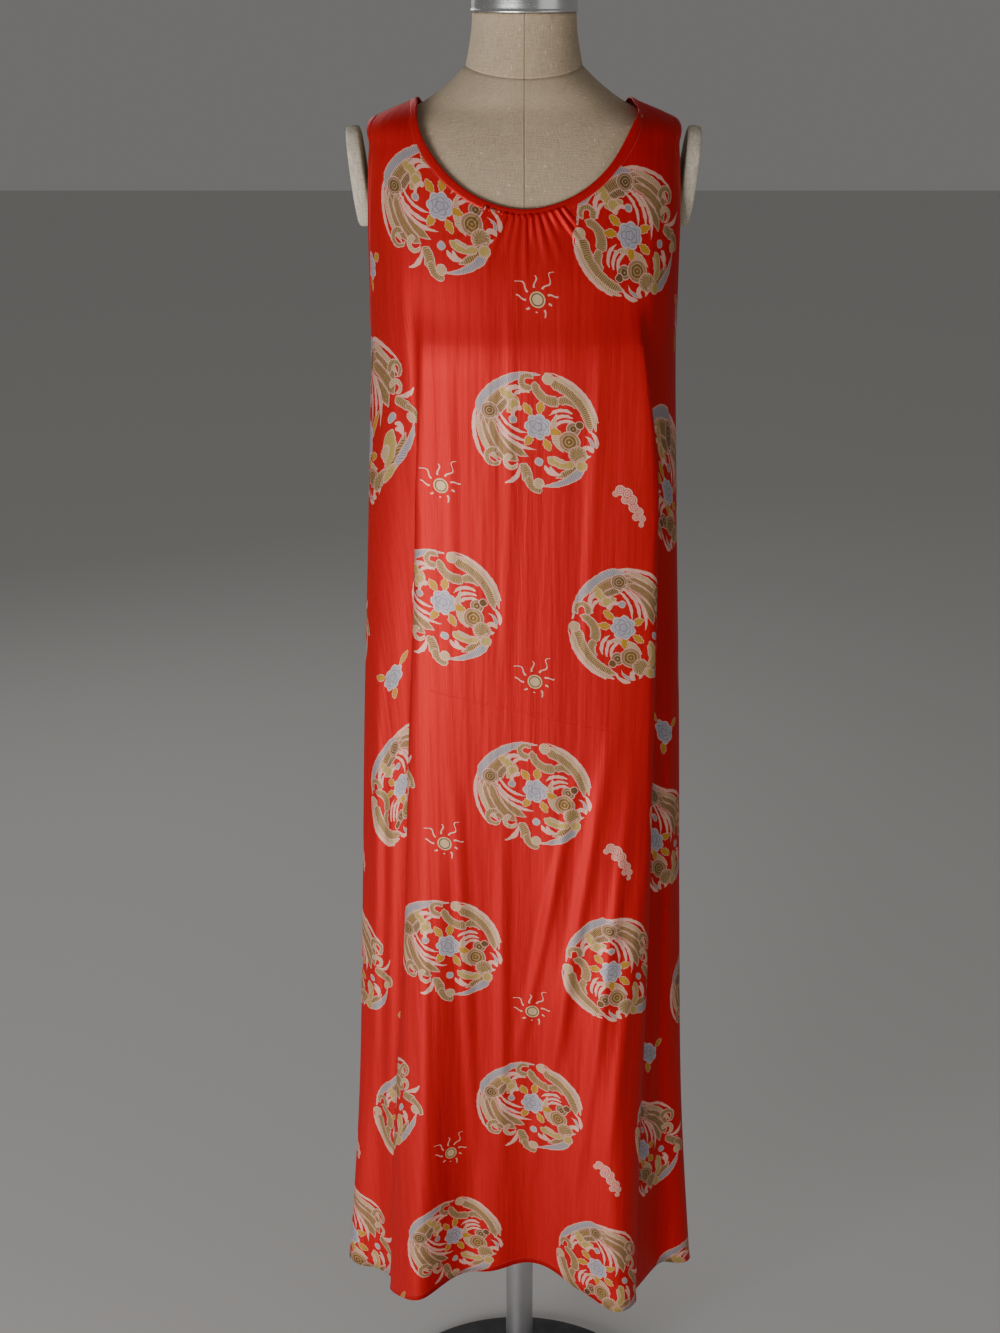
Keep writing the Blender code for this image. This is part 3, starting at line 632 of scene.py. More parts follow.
class HalfDress:
    """The front or back of the dress as a surface. A place on it is how far round the ring it lies from
    the middle, and its height."""

    LOW, HIGH = DRESS_RINGS[0]["height"], DRESS_RINGS[-1]["height"]
    LEVELS, SHARES, ANGLES = 500, 400, 360

    def __init__(self, side, folds, creases, hem):
        self.side = side
        self.folds = folds
        self.creases = creases
        self.hem = hem
        heights = np.linspace(self.LOW, self.HIGH, self.LEVELS)[:, None]
        t = np.linspace(0, 1, self.ANGLES)
        angles = (math.pi / 2 * t * t * (3 - 2 * t))[None, :]
        x, y = ring_point(DRESS_RINGS, angles, heights, side)
        steps = np.hypot(np.diff(x, axis=1), np.diff(y, axis=1))
        lengths = np.concatenate([np.zeros((self.LEVELS, 1)), np.cumsum(steps, axis=1)], axis=1)
        self.reaches = lengths[:, -1]
        shares = np.linspace(0, 1, self.SHARES)
        self.angles = np.array([np.interp(shares * row[-1], row, angles[0]) for row in lengths])
        self.spread = self.print_spread()

    def level(self, z):
        """Row of the grids at this height, as a number with a fraction."""
        return (np.clip(z, self.LOW, self.HIGH) - self.LOW) / (self.HIGH - self.LOW) * (self.LEVELS - 1)

    def side_reach(self, z):
        """Distance round the ring from its middle to the side seam."""
        return np.interp(self.level(z), np.arange(self.LEVELS), self.reaches)

    def read(self, grid, share, z):
        """Reads a grid of levels by shares between its rows and columns."""
        row = self.level(z)
        column = np.clip(share, 0, 1) * (self.SHARES - 1)
        i = np.minimum(row.astype(int), self.LEVELS - 2)
        j = np.minimum(column.astype(int), self.SHARES - 2)
        a, b = row - i, column - j
        upper = grid[i, j] * (1 - b) + grid[i, j + 1] * b
        lower = grid[i + 1, j] * (1 - b) + grid[i + 1, j + 1] * b
        return upper * (1 - a) + lower * a

    def reach_of_angle(self, angle, z):
        """Distance round the ring, at height z, of the point at this angle."""
        row = self.angles[int(round(float(self.level(z))))]
        return float(np.interp(angle, row, np.linspace(0, 1, self.SHARES)) * self.side_reach(z))

    def reach_of_x(self, x, z):
        """Signed distance round the ring, at height z, of the point with this x."""
        wide = float(smooth_value(DRESS_RINGS, "half_width", z))
        square = float(smooth_value(DRESS_RINGS, "square", z))
        angle = math.asin(min(1.0, abs(x) / wide) ** (square / 2))
        return math.copysign(self.reach_of_angle(angle, z), x)

    def reach_of_depth(self, depth, z):
        """Distance round the ring, at height z, of the point this far before the side line."""
        deep = float(smooth_value(DRESS_RINGS, "front" if self.side < 0 else "back", z))
        square = float(smooth_value(DRESS_RINGS, "square", z))
        angle = math.acos(min(1.0, depth / deep) ** (square / 2))
        return self.reach_of_angle(angle, z)

    def points(self, reach, z):
        """Points of the inner face, with the long folds in it, as one array with x, y, z last."""
        reach, z = np.broadcast_arrays(np.asarray(reach, float), np.asarray(z, float))
        angle = self.read(self.angles, np.abs(reach) / self.side_reach(z), z)
        x, y = ring_point(DRESS_RINGS, angle, z, self.side)
        x = np.copysign(np.abs(x), reach)
        if self.side < 0:
            x, y = front_drop(x, y, z)
        y = y + self.side * (fold_height(self.folds, x, z) + crease_height(self.creases, x, z))
        return np.stack([x, y, z], axis=-1)

    def frames(self, reach, z):
        """Points and outward normals, by small steps on the surface."""
        step = 0.0006
        reach, z = np.broadcast_arrays(np.asarray(reach, float), np.asarray(z, float))
        limit = self.side_reach(z)
        along = self.points(np.clip(reach + step, -limit, limit), z)
        along = along - self.points(np.clip(reach - step, -limit, limit), z)
        up = self.points(reach, z + step) - self.points(reach, z - step)
        normal = np.cross(along, up)
        normal /= np.linalg.norm(normal, axis=-1, keepdims=True) + 1e-12
        normal *= -1 if self.side > 0 else 1
        return self.points(reach, z), normal

    def print_spread(self):
        """True distance across the cloth, folds and all, for each level and share of both sides."""
        spread = []
        z = np.linspace(self.LOW, self.HIGH, self.LEVELS)[:, None]
        for way in (-1, 1):
            reach = way * np.linspace(0, 1, self.SHARES)[None, :] * self.reaches[:, None]
            points = self.points(reach, z + 0 * reach)
            steps = np.linalg.norm(np.diff(points[..., :2], axis=1), axis=-1)
            spread.append(np.concatenate([np.zeros((self.LEVELS, 1)), np.cumsum(steps, axis=1)], axis=1))
        return spread

    def print_place(self, reach, z):
        """Where a point of the cloth lies on the flat print, in metres."""
        share = np.abs(reach) / self.side_reach(z)
        left = self.read(self.spread[0], share, z)
        right = self.read(self.spread[1], share, z)
        u = np.where(reach < 0, -left, right)
        aside = np.clip((np.abs(u) - PRINT_SIDE_FROM) / PRINT_SIDE_OVER, 0, 1)
        aside = aside * aside * (3 - 2 * aside)
        left_front = (reach < 0) & (self.side < 0)
        slip = np.interp(z, PRINT_SLIP_HEIGHTS, PRINT_SLIPS) * aside * left_front
        drops = [np.interp(z, PRINT_SLIP_HEIGHTS, row) for row in (PRINT_DROPS, PRINT_LEFT_DROPS)]
        drop = np.where(left_front, drops[1], drops[0]) * (self.side < 0)
        return u - slip, z + PRINT_TILT * u + drop * aside


def front_drop(x, y, z):
    """Brings the middle of the front forward, as cloth does that hangs from the bust. At its two edges it
    turns back in a crisp fold that stands a little over the side part."""
    left = smooth_value(FRONT_DROP, "left_edge", z)
    right = smooth_value(FRONT_DROP, "right_edge", z)
    edge = np.where(x < 0, left, right)
    forward = -smooth_value(FRONT_DROP, "drop", z) * (1 - CROWN * (x / edge) ** 2)
    forward = -DROP_SOFTNESS * np.logaddexp(-y / DROP_SOFTNESS, -forward / DROP_SOFTNESS)
    overhang = STEP_OVERHANG * np.minimum(1.0, (y - forward) / FULL_STEP)
    beside = np.abs(x) - edge + STEP_TURN * overhang
    inside = 1 / (1 + np.exp(np.clip(beside / STEP_WIDTH, -40, 40)))
    reach = (beside + STEP_WIDTH) / (STEP_REACH * STEP_WIDTH)
    return x + np.copysign(overhang * np.exp(-reach * reach), x), y - (y - forward) * inside


def fold_height(folds, x, z):
    """How far the long folds push the cloth out at each place."""
    total = np.zeros_like(x)
    for fold in folds:
        fall = np.maximum(0, (fold["start"] - z) / (fold["start"] - HEM_Z))
        middle = fold["across"] + (fold["across_hem"] - fold["across"]) * fall
        beside = (x - middle) / fold["half_width"]
        wave = np.where(np.abs(beside) < 1.6, np.exp(-2 * beside * beside), 0)
        total += fold["out"] * fall ** fold["power"] * wave
    return total


def crease_height(creases, x, z):
    """How far the shallow creases push the cloth out: a ridge with a fainter trough on each side."""
    total = np.zeros_like(x)
    for crease in creases:
        along = (crease["top_z"] - z) / (crease["top_z"] - crease["low_z"])
        middle = crease["top_x"] + (crease["low_x"] - crease["top_x"]) * along
        beside = (x - middle) / crease["half_width"]
        rise = np.sin(math.pi * np.clip(along, 0, 1)) ** 0.7
        total += crease["out"] * rise * (1 - 0.9 * beside * beside) * np.exp(-beside * beside)
    return total


def ridge_height(half_width):
    """Height of the shoulder line where it is this far from the middle."""
    low, high = DRESS_RINGS[-2], DRESS_RINGS[-1]
    heights = np.linspace(low["height"] - 0.01, high["height"], 60)
    widths = smooth_value(DRESS_RINGS, "half_width", heights)
    return float(np.interp(-half_width, -widths, heights))


def neck_place(half, turn, inset):
    """Place on the half dress of the neckline moved into the cloth by inset; turn runs from -1 to 1."""
    wide = NECK_HALF_WIDTH + 0.9 * inset
    top = ridge_height(wide)
    bottom = (FRONT_NECK_Z if half.side < 0 else BACK_NECK_Z) - 0.95 * inset
    angle = turn * math.pi / 2
    power = 2 / NECK_ROUNDNESS
    x = wide * math.copysign(abs(math.sin(angle)) ** power, turn)
    z = top - (top - bottom) * abs(math.cos(angle)) ** power
    if abs(turn) > 0.9999:
        return math.copysign(float(half.side_reach(top)), turn), top
    return half.reach_of_x(x, z), z


def arm_place(half, turn, inset):
    """Place on the armhole's edge moved into the cloth by inset; turn runs from 0 at the tip to 1 under
    the arm."""
    tip = ridge_height(TIP_HALF_WIDTH - 0.9 * inset)
    low = UNDERARM_Z - inset
    angle = math.pi * turn
    power = 2 / ARM_ROUNDNESS
    middle = (tip + low) / 2
    z = middle + (tip - low) / 2 * math.copysign(abs(math.cos(angle)) ** power, math.cos(angle))
    depth = (ARM_DEPTH_FRONT if half.side < 0 else ARM_DEPTH_BACK) + inset
    depth *= abs(math.sin(angle)) ** power
    return half.reach_of_depth(depth, z), z


def gather_turn(half):
    """Turn of the neckline at which the gathers end."""
    turns = np.linspace(0, 1, 60)
    across = np.array([neck_place(half, t, NECK_BINDING)[0] for t in turns])
    return float(np.interp(GATHER_HALF_WIDTH, across, turns))


def neck_turns(half, gathers):
    """Turns of the neckline at which the panel has its columns, and the place of each among the gathers."""
    limit = gather_turn(half) if half.side < 0 else 0.5
    columns = GATHER_COLUMNS * gathers if half.side < 0 else BACK_MIDDLE_COLUMNS
    sides = [1 - (1 - limit) * i / NECK_SIDE_COLUMNS for i in range(NECK_SIDE_COLUMNS)]
    middle = list(np.linspace(-limit, limit, columns + 1))
    return [-t for t in sides] + middle + sides[::-1]


def top_edge(half, turns):
    """Places along the upper edge of a panel, from one shoulder tip round the neck to the other."""
    inset = NECK_BINDING * PANEL_TUCK
    outer = TIP_HALF_WIDTH - 0.9 * ARM_BINDING * PANEL_TUCK
    inner = NECK_HALF_WIDTH + 0.9 * inset
    shoulder = []
    for i in range(SHOULDER_COLUMNS):
        z = ridge_height(outer + (inner - outer) * i / SHOULDER_COLUMNS)
        shoulder.append((float(half.side_reach(z)), z))
    neck = [neck_place(half, t, inset) for t in turns]
    return [(-w, z) for w, z in shoulder] + neck + shoulder[::-1]


def hem_places(half, shares):
    """Places along the hem at these shares of the way to the side seams."""
    low = smooth_value(half.hem, "height", np.zeros_like(shares), "across")
    for _ in range(5):
        x = half.points(shares * half.side_reach(low), low)[..., 0]
        low = smooth_value(half.hem, "height", x, "across")
    return shares * half.side_reach(low), low


def panel_places(half, turns):
    """Two arrays, rows by columns: distance round the ring, and height. Above the underarm the rows turn
    from the neck's curve into a level row, and below it they drop to the hem."""
    top = np.array(top_edge(half, turns))
    count = len(top)
    plain = np.linspace(-1, 1, count)
    shares = plain - COLUMN_SHIFT * np.sin(3 * math.pi * plain) * (1 - plain**2) ** 0.25
    inset = ARM_BINDING * PANEL_TUCK
    under_z = UNDERARM_Z - inset
    level_w = shares * float(half.side_reach(under_z))
    reach, height = [], []
    for i in range(ROWS_ABOVE):
        t = (i / ROWS_ABOVE) ** ROW_POWER_ABOVE
        arm_w, arm_z = arm_place(half, t, inset)
        pull_w = arm_w - (1 - t) * top[-1][0] - t * level_w[-1]
        pull_z = arm_z - (1 - t) * top[-1][1] - t * under_z
        near = np.abs(shares) ** (ARM_PULL_TOP * (1 - t) + ARM_PULL_LOW * t)
        reach.append((1 - t) * top[:, 0] + t * level_w + pull_w * near * np.sign(shares))
        height.append((1 - t) * top[:, 1] + t * under_z + pull_z * near)
    _, hem_z = hem_places(half, shares)
    for i in range(ROWS_BELOW + 1):
        t = (i / ROWS_BELOW) ** ROW_POWER_BELOW
        z = (1 - t) * under_z + t * hem_z
        reach.append(shares * half.side_reach(z))
        height.append(z)
    return np.array(reach), np.array(height)


def gather_lift(sizes, x, z, place):
    """Outward lift of the gathers under the neckline; place counts them from the left. Each gather has a
    length and a height of its own."""
    below = FRONT_NECK_Z - 0.4 * NECK_BINDING - z + NECK_RISE * x * x
    which = np.floor(place)
    length = sizes.gather_length * (0.85 + 0.35 * np.sin(2.3 * which + 0.7))
    height = sizes.gather_height * (0.85 + 0.30 * np.sin(1.7 * which + 2.0))
    fade = np.clip(1 - below / length, 0, 1) ** 1.3
    rise = np.clip(below / 0.004, 0, 1)
    wave = (1 - np.cos(2 * math.pi * place)) / 2
    return height * rise * fade * wave


def grid_mesh(name, points, flat=None, around=False):
    """A quad surface through rows of points, with the flat cloth's places as its UV map."""
    rows, count = points.shape[:2]
    corners = np.arange(rows * count).reshape(rows, count)
    if around:
        corners = np.concatenate([corners, corners[:, :1]], axis=1)
    faces = np.stack([corners[:-1, :-1], corners[:-1, 1:], corners[1:, 1:], corners[1:, :-1]], axis=-1)
    mesh = bpy.data.meshes.new(name)
    mesh.from_pydata(points.reshape(-1, 3).tolist(), [], faces.reshape(-1, 4).tolist())
    layer = mesh.uv_layers.new(name="cloth")
    if flat is None:
        flat = surface_places(points, around)
    wide = flat.shape[1]
    index = np.arange(rows * wide).reshape(rows, wide)
    across = wide if around else count
    quads = np.stack([index[:-1, :across - 1], index[:-1, 1:across],
                      index[1:, 1:across], index[1:, :across - 1]], axis=-1)
    layer.data.foreach_set("uv", flat.reshape(-1, 2)[quads.reshape(-1)].ravel())
    mesh.shade_smooth()
    return add_object(name, mesh)


def add_object(name, data):
    """A new object with this mesh, lamp or camera, in the scene's own collection."""
    obj = bpy.data.objects.new(name, data)
    bpy.context.scene.collection.objects.link(obj)
    return obj


def surface_places(points, around):
    """Distances along and across a surface, for pieces that hold no print."""
    if around:
        points = np.concatenate([points, points[:, :1]], axis=1)
    along = np.linalg.norm(np.diff(points, axis=1), axis=-1).mean(axis=0)
    across = np.linalg.norm(np.diff(points, axis=0), axis=-1).mean(axis=1)
    u = np.concatenate([[0], np.cumsum(along)])
    v = np.concatenate([[0], np.cumsum(across)])
    return np.stack(np.broadcast_arrays(u[None, :], v[:, None]), axis=-1)


def finish_piece(obj, material, slot, *nodes):
    """Gives a piece its material, lets it stand for its solids, and puts it on the body. The slot is not
    used.
    """
    obj.data.materials.clear()
    obj.data.materials.append(material)
    if nodes:
        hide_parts(*nodes)
    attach(obj, BODY)
    return obj


def build_sheet(name, half, sizes, material, node):
    """One panel of the dress: its surface, its gathers, its seams and its rolled hem."""
    reach, z = panel_places(half, neck_turns(half, sizes.gathers))
    points, normal = half.frames(reach, z)
    lift = np.zeros_like(z)
    if half.side < 0:
        place = (np.arange(z.shape[1]) - SHOULDER_COLUMNS - NECK_SIDE_COLUMNS) / GATHER_COLUMNS
        among = (place >= 0) & (place <= sizes.gathers)
        lift += among[None, :] * gather_lift(sizes, points[..., 0], z, place[None, :])
    seam = (half.side_reach(z) - np.abs(reach)) / SEAM_PULL_WIDTH
    lift -= SEAM_PULL * np.exp(-seam * seam)
    above_hem = (z - z[-1][None, :]) / sizes.hem
    lift += HEM_LIFT * np.clip(3 * (1 - above_hem), 0, 1)
    points = points + normal * lift[..., None]
    edge = half.side_reach(z) - np.abs(reach) < 1e-6
    points[..., 1] = np.where(edge, half.side * SEAM_GAP / 2, points[..., 1])
    sheet = grid_mesh(name, points, np.stack(half.print_place(reach, z), axis=-1))
    wall = sheet.modifiers.new("wall", "SOLIDIFY")
    wall.thickness = sizes.cloth
    wall.offset = half.side
    wall.use_even_offset = False
    return finish_piece(sheet, material, "satin", node)


def strip_section(points, normals):
    """Rows of a folded strip: each point of its cross-section, moved out along the cloth's normal."""
    rows = []
    for (_, lift), line, out in zip(BINDING_SECTION, points, normals):
        rows.append(line + out * lift * BINDING_WALL)
    rows.append(rows[0])
    return np.array(rows)


def strip_lines(front, back, place, turns, width):
    """For each point of the strip's cross-section, the closed line of cloth points and normals there."""
    lines, normals = [], []
    for share, _ in BINDING_SECTION:
        line, out = [], []
        for half, run in ((front, turns), (back, turns[::-1])):
            spots = [place(half, float(t), share * width) for t in run[:-1]]
            points, normal = half.frames([w for w, _ in spots], [z for _, z in spots])
            line.append(points)
            out.append(normal)
        lines.append(np.concatenate(line))
        normals.append(np.concatenate(out))
    return np.array(lines), np.array(normals)


def smooth_round(lines, passes):
    """Evens out a closed line a little, as cloth does over the shoulder seam."""
    for _ in range(passes):
        lines = 0.5 * lines + 0.25 * (np.roll(lines, 1, axis=1) + np.roll(lines, -1, axis=1))
    return lines


def build_binding(name, front, back, place, turns, width, material, node):
    """A folded bias strip all round an opening, along the line that place gives."""
    lines, normals = strip_lines(front, back, place, turns, width)
    lines[:, 0, 1] = 0.0
    lines[:, len(turns) - 1, 1] = 0.0
    normals = smooth_round(normals, 6)
    normals /= np.linalg.norm(normals, axis=-1, keepdims=True)
    strip = grid_mesh(name, strip_section(lines, normals), around=True)
    make_outward(strip)
    return finish_piece(strip, material, "satin", node)


def make_outward(obj):
    """Joins doubled points and turns all faces out."""
    work = bmesh.new()
    work.from_mesh(obj.data)
    bmesh.ops.remove_doubles(work, verts=work.verts, dist=0.00002)
    bmesh.ops.recalc_face_normals(work, faces=work.faces)
    work.to_mesh(obj.data)
    work.free()


def stitch_row(name, points, normals, sizes, material):
    """A row of stitches along a line on the cloth, each a small grain of thread."""
    runs = np.concatenate([[0], np.cumsum(np.linalg.norm(np.diff(points, axis=0), axis=1))])
    at = np.arange(0.5 * sizes.stitch_pitch, runs[-1], sizes.stitch_pitch)
    middle = np.stack([np.interp(at, runs, points[:, k]) for k in range(3)], axis=1)
    ahead = np.stack([np.interp(at + 0.0004, runs, points[:, k]) for k in range(3)], axis=1)
    out = np.stack([np.interp(at, runs, normals[:, k]) for k in range(3)], axis=1)
    out /= np.linalg.norm(out, axis=1, keepdims=True)
    along = ahead - middle
    along /= np.linalg.norm(along, axis=1, keepdims=True) + 1e-12
    side = np.cross(out, along)
    corners, faces = [], []
    for end, wide in STITCH_SHAPE:
        for turn in range(4):
            across = math.cos(math.pi / 2 * turn) * wide * STITCH_HALF_WIDTH
            up = math.sin(math.pi / 2 * turn) * wide * STITCH_HALF_WIDTH
            corners.append(middle + along * (end * sizes.stitch / 2) + side * across + out * up)
    count = len(corners)
    corners = np.stack(corners, axis=1).reshape(-1, 3)
    for start in range(0, len(middle) * count, count):
        for ring in range(len(STITCH_SHAPE) - 1):
            for turn in range(4):
                a = start + 4 * ring + turn
                b = start + 4 * ring + (turn + 1) % 4
                faces.append((a, b, b + 4, a + 4))
        last = start + count - 4
        faces.append((start + 3, start + 2, start + 1, start))
        faces.append((last, last + 1, last + 2, last + 3))
    mesh = bpy.data.meshes.new(name)
    mesh.from_pydata(corners.tolist(), [], faces)
    mesh.shade_smooth()
    return finish_piece(add_object(name, mesh), material, "satin")


def hem_line(half, sizes):
    """The line of the hem's stitches, on the outside of the cloth."""
    reach, low = hem_places(half, np.linspace(-0.995, 0.995, HEM_STITCH_POINTS))
    points, normal = half.frames(reach, low + sizes.hem + HEM_STITCH_ABOVE)
    return points + normal * (sizes.cloth + STITCH_LIFT), normal


def edge_line(front, back, place, turns, inset, sizes):
    """The line of the stitches beside a binding, on the outside of the cloth."""
    points, normals = [], []
    for half, run in ((front, turns), (back, turns[::-1])):
        spots = [place(half, float(t), inset) for t in run[:-1]]
        line, out = half.frames([w for w, _ in spots], [z for _, z in spots])
        points.append(line + out * (sizes.cloth + STITCH_LIFT))
        normals.append(out)
    points, normals = np.concatenate(points), np.concatenate(normals)
    return np.concatenate([points, points[:1]]), np.concatenate([normals, normals[:1]])


def torso_ring(height, count):
    """One closed level ring of the form; near the neck its front dips a little."""
    angle = 2 * math.pi * np.arange(count) / count
    x, back_y = ring_point(TORSO_RINGS, angle, height, 1)
    _, front_y = ring_point(TORSO_RINGS, angle, height, -1)
    facing = np.cos(angle)
    dip = float(smooth_value(TORSO_RINGS, "dip", height))
    z = height - dip * np.maximum(0, facing) ** 1.5
    return np.stack([x, np.where(facing > 0, front_y, back_y), z], axis=-1)


def round_piece(name, points, material, slot, *nodes):
    """A closed surface through rings of points, with a fan at each end."""
    rows, count = points.shape[:2]
    piece = grid_mesh(name, points, around=True)
    work = bmesh.new()
    work.from_mesh(piece.data)
    corners = list(work.verts)
    for start in (0, (rows - 1) * count):
        rim = corners[start:start + count]
        middle = work.verts.new(points.reshape(-1, 3)[start:start + count].mean(axis=0))
        for j in range(count):
            work.faces.new((rim[j], rim[(j + 1) % count], middle)).smooth = True
    bmesh.ops.recalc_face_normals(work, faces=work.faces)
    work.to_mesh(piece.data)
    work.free()
    return finish_piece(piece, material, slot, *nodes)


def turned_piece(name, profile, material, slot, node):
    """A turned piece from a profile of (radius, height), with small roundings at its corners."""
    outline = rounded(profile, TURNED_ROUNDING)
    angle = 2 * math.pi * np.arange(TURNED_POINTS) / TURNED_POINTS
    rings = []
    for radius, z in outline:
        ring = [radius * np.cos(angle), radius * np.sin(angle), np.full(TURNED_POINTS, z)]
        rings.append(np.stack(ring, axis=-1))
    return round_piece(name, np.array(rings), material, slot, node)


def rounded(profile, radius):
    """Replaces each inner corner of a profile by three points on a small curve."""
    outline = [profile[0]]
    for before, corner, after in zip(profile, profile[1:], profile[2:]):
        before, corner, after = np.array(before), np.array(corner), np.array(after)
        reach_in = min(radius, 0.45 * np.linalg.norm(before - corner))
        reach_out = min(radius, 0.45 * np.linalg.norm(after - corner))
        start = corner + (before - corner) / np.linalg.norm(before - corner) * reach_in
        end = corner + (after - corner) / np.linalg.norm(after - corner) * reach_out
        for t in (0.0, 0.33, 0.67, 1.0):
            outline.append(tuple((1 - t) ** 2 * start + 2 * t * (1 - t) * corner + t * t * end))
    outline.append(profile[-1])
    return outline


def build_plate(name, way, material, node):
    """An oval plate at the form's armhole, with a rolled rim, leaning a little."""
    angle = 2 * math.pi * np.arange(PLATE_POINTS) / PLATE_POINTS
    rings = []
    for across, out in PLATE_SECTION:
        rings.append(np.stack([
            np.full(PLATE_POINTS, out * PLATE_THICK),
            (PLATE_HALF_DEPTH - across) * np.cos(angle),
            (PLATE_HALF_HEIGHT - across) * np.sin(angle)], axis=-1))
    points = np.array(rings)
    lean = math.radians(PLATE_LEAN)
    x = points[..., 0] * math.cos(lean) + points[..., 2] * math.sin(lean)
    z = -points[..., 0] * math.sin(lean) + points[..., 2] * math.cos(lean)
    points = np.stack([way * (PLATE_X + x), points[..., 1], PLATE_Z + z], axis=-1)
    return round_piece(name, points, material, "canvas", node)


def one_armhole(way):
    """The function that gives places along the armhole on the left, where way is -1, or the right."""
    def place(half, turn, inset):
        reach, z = arm_place(half, turn, inset)
        return way * reach, z
    return place


# The printed pattern, in metres on the flat cloth. Two sets of columns take turns, half a repeat apart.
REPEAT = 0.3875
COLUMN_PAIR = 0.188         # from one column of a set to the next
COLUMN_AT = 0.012           # a column of the first set, from the middle
ROUNDEL_AT = 0.8845         # height of one of its roundels
ROUNDEL_RADIUS = 0.0610
ROUNDEL_EDGE = 1.10         # nothing of a roundel lies further out, in shares of its radius
SMALL_ABOVE = 0.126         # the small motif sits this far above its roundel
SMALL_EDGE = 0.036
LINE = 0.011                # outlines, in shares of the roundel's radius
SWAY = 0.016                # how far the ink strays from the drawing, in the same shares
SWAY_SCALE = 210.0          # how often it strays, per metre
GRAIN_SHARE = 0.55          # strength of the lines inside a stroke
OTHER_TURN = 1.45           # the second drawing is the first one mirrored and turned by this
PEONY_X = 0.02
PEONY_Y = 0.08
PEONY_RADIUS = 0.205
PEARL_RADIUS = 0.0235
CLOUD_REACH = 0.0175
SPRIG_RADIUS = 0.0125
SPRIG_SCALE = 0.075         # the sprig is the peony at this size
PRINT_KEYS = ("ground", "outline", "cream", "tan", "khaki", "taupe", "lavender", "leaf", "head")

# The faint level crease in the cloth
CREASE_Z = 0.975
CREASE_SLOPE = -0.10
CREASE_HALF_WIDTH = 0.0022
CREASE_REACH = 0.095

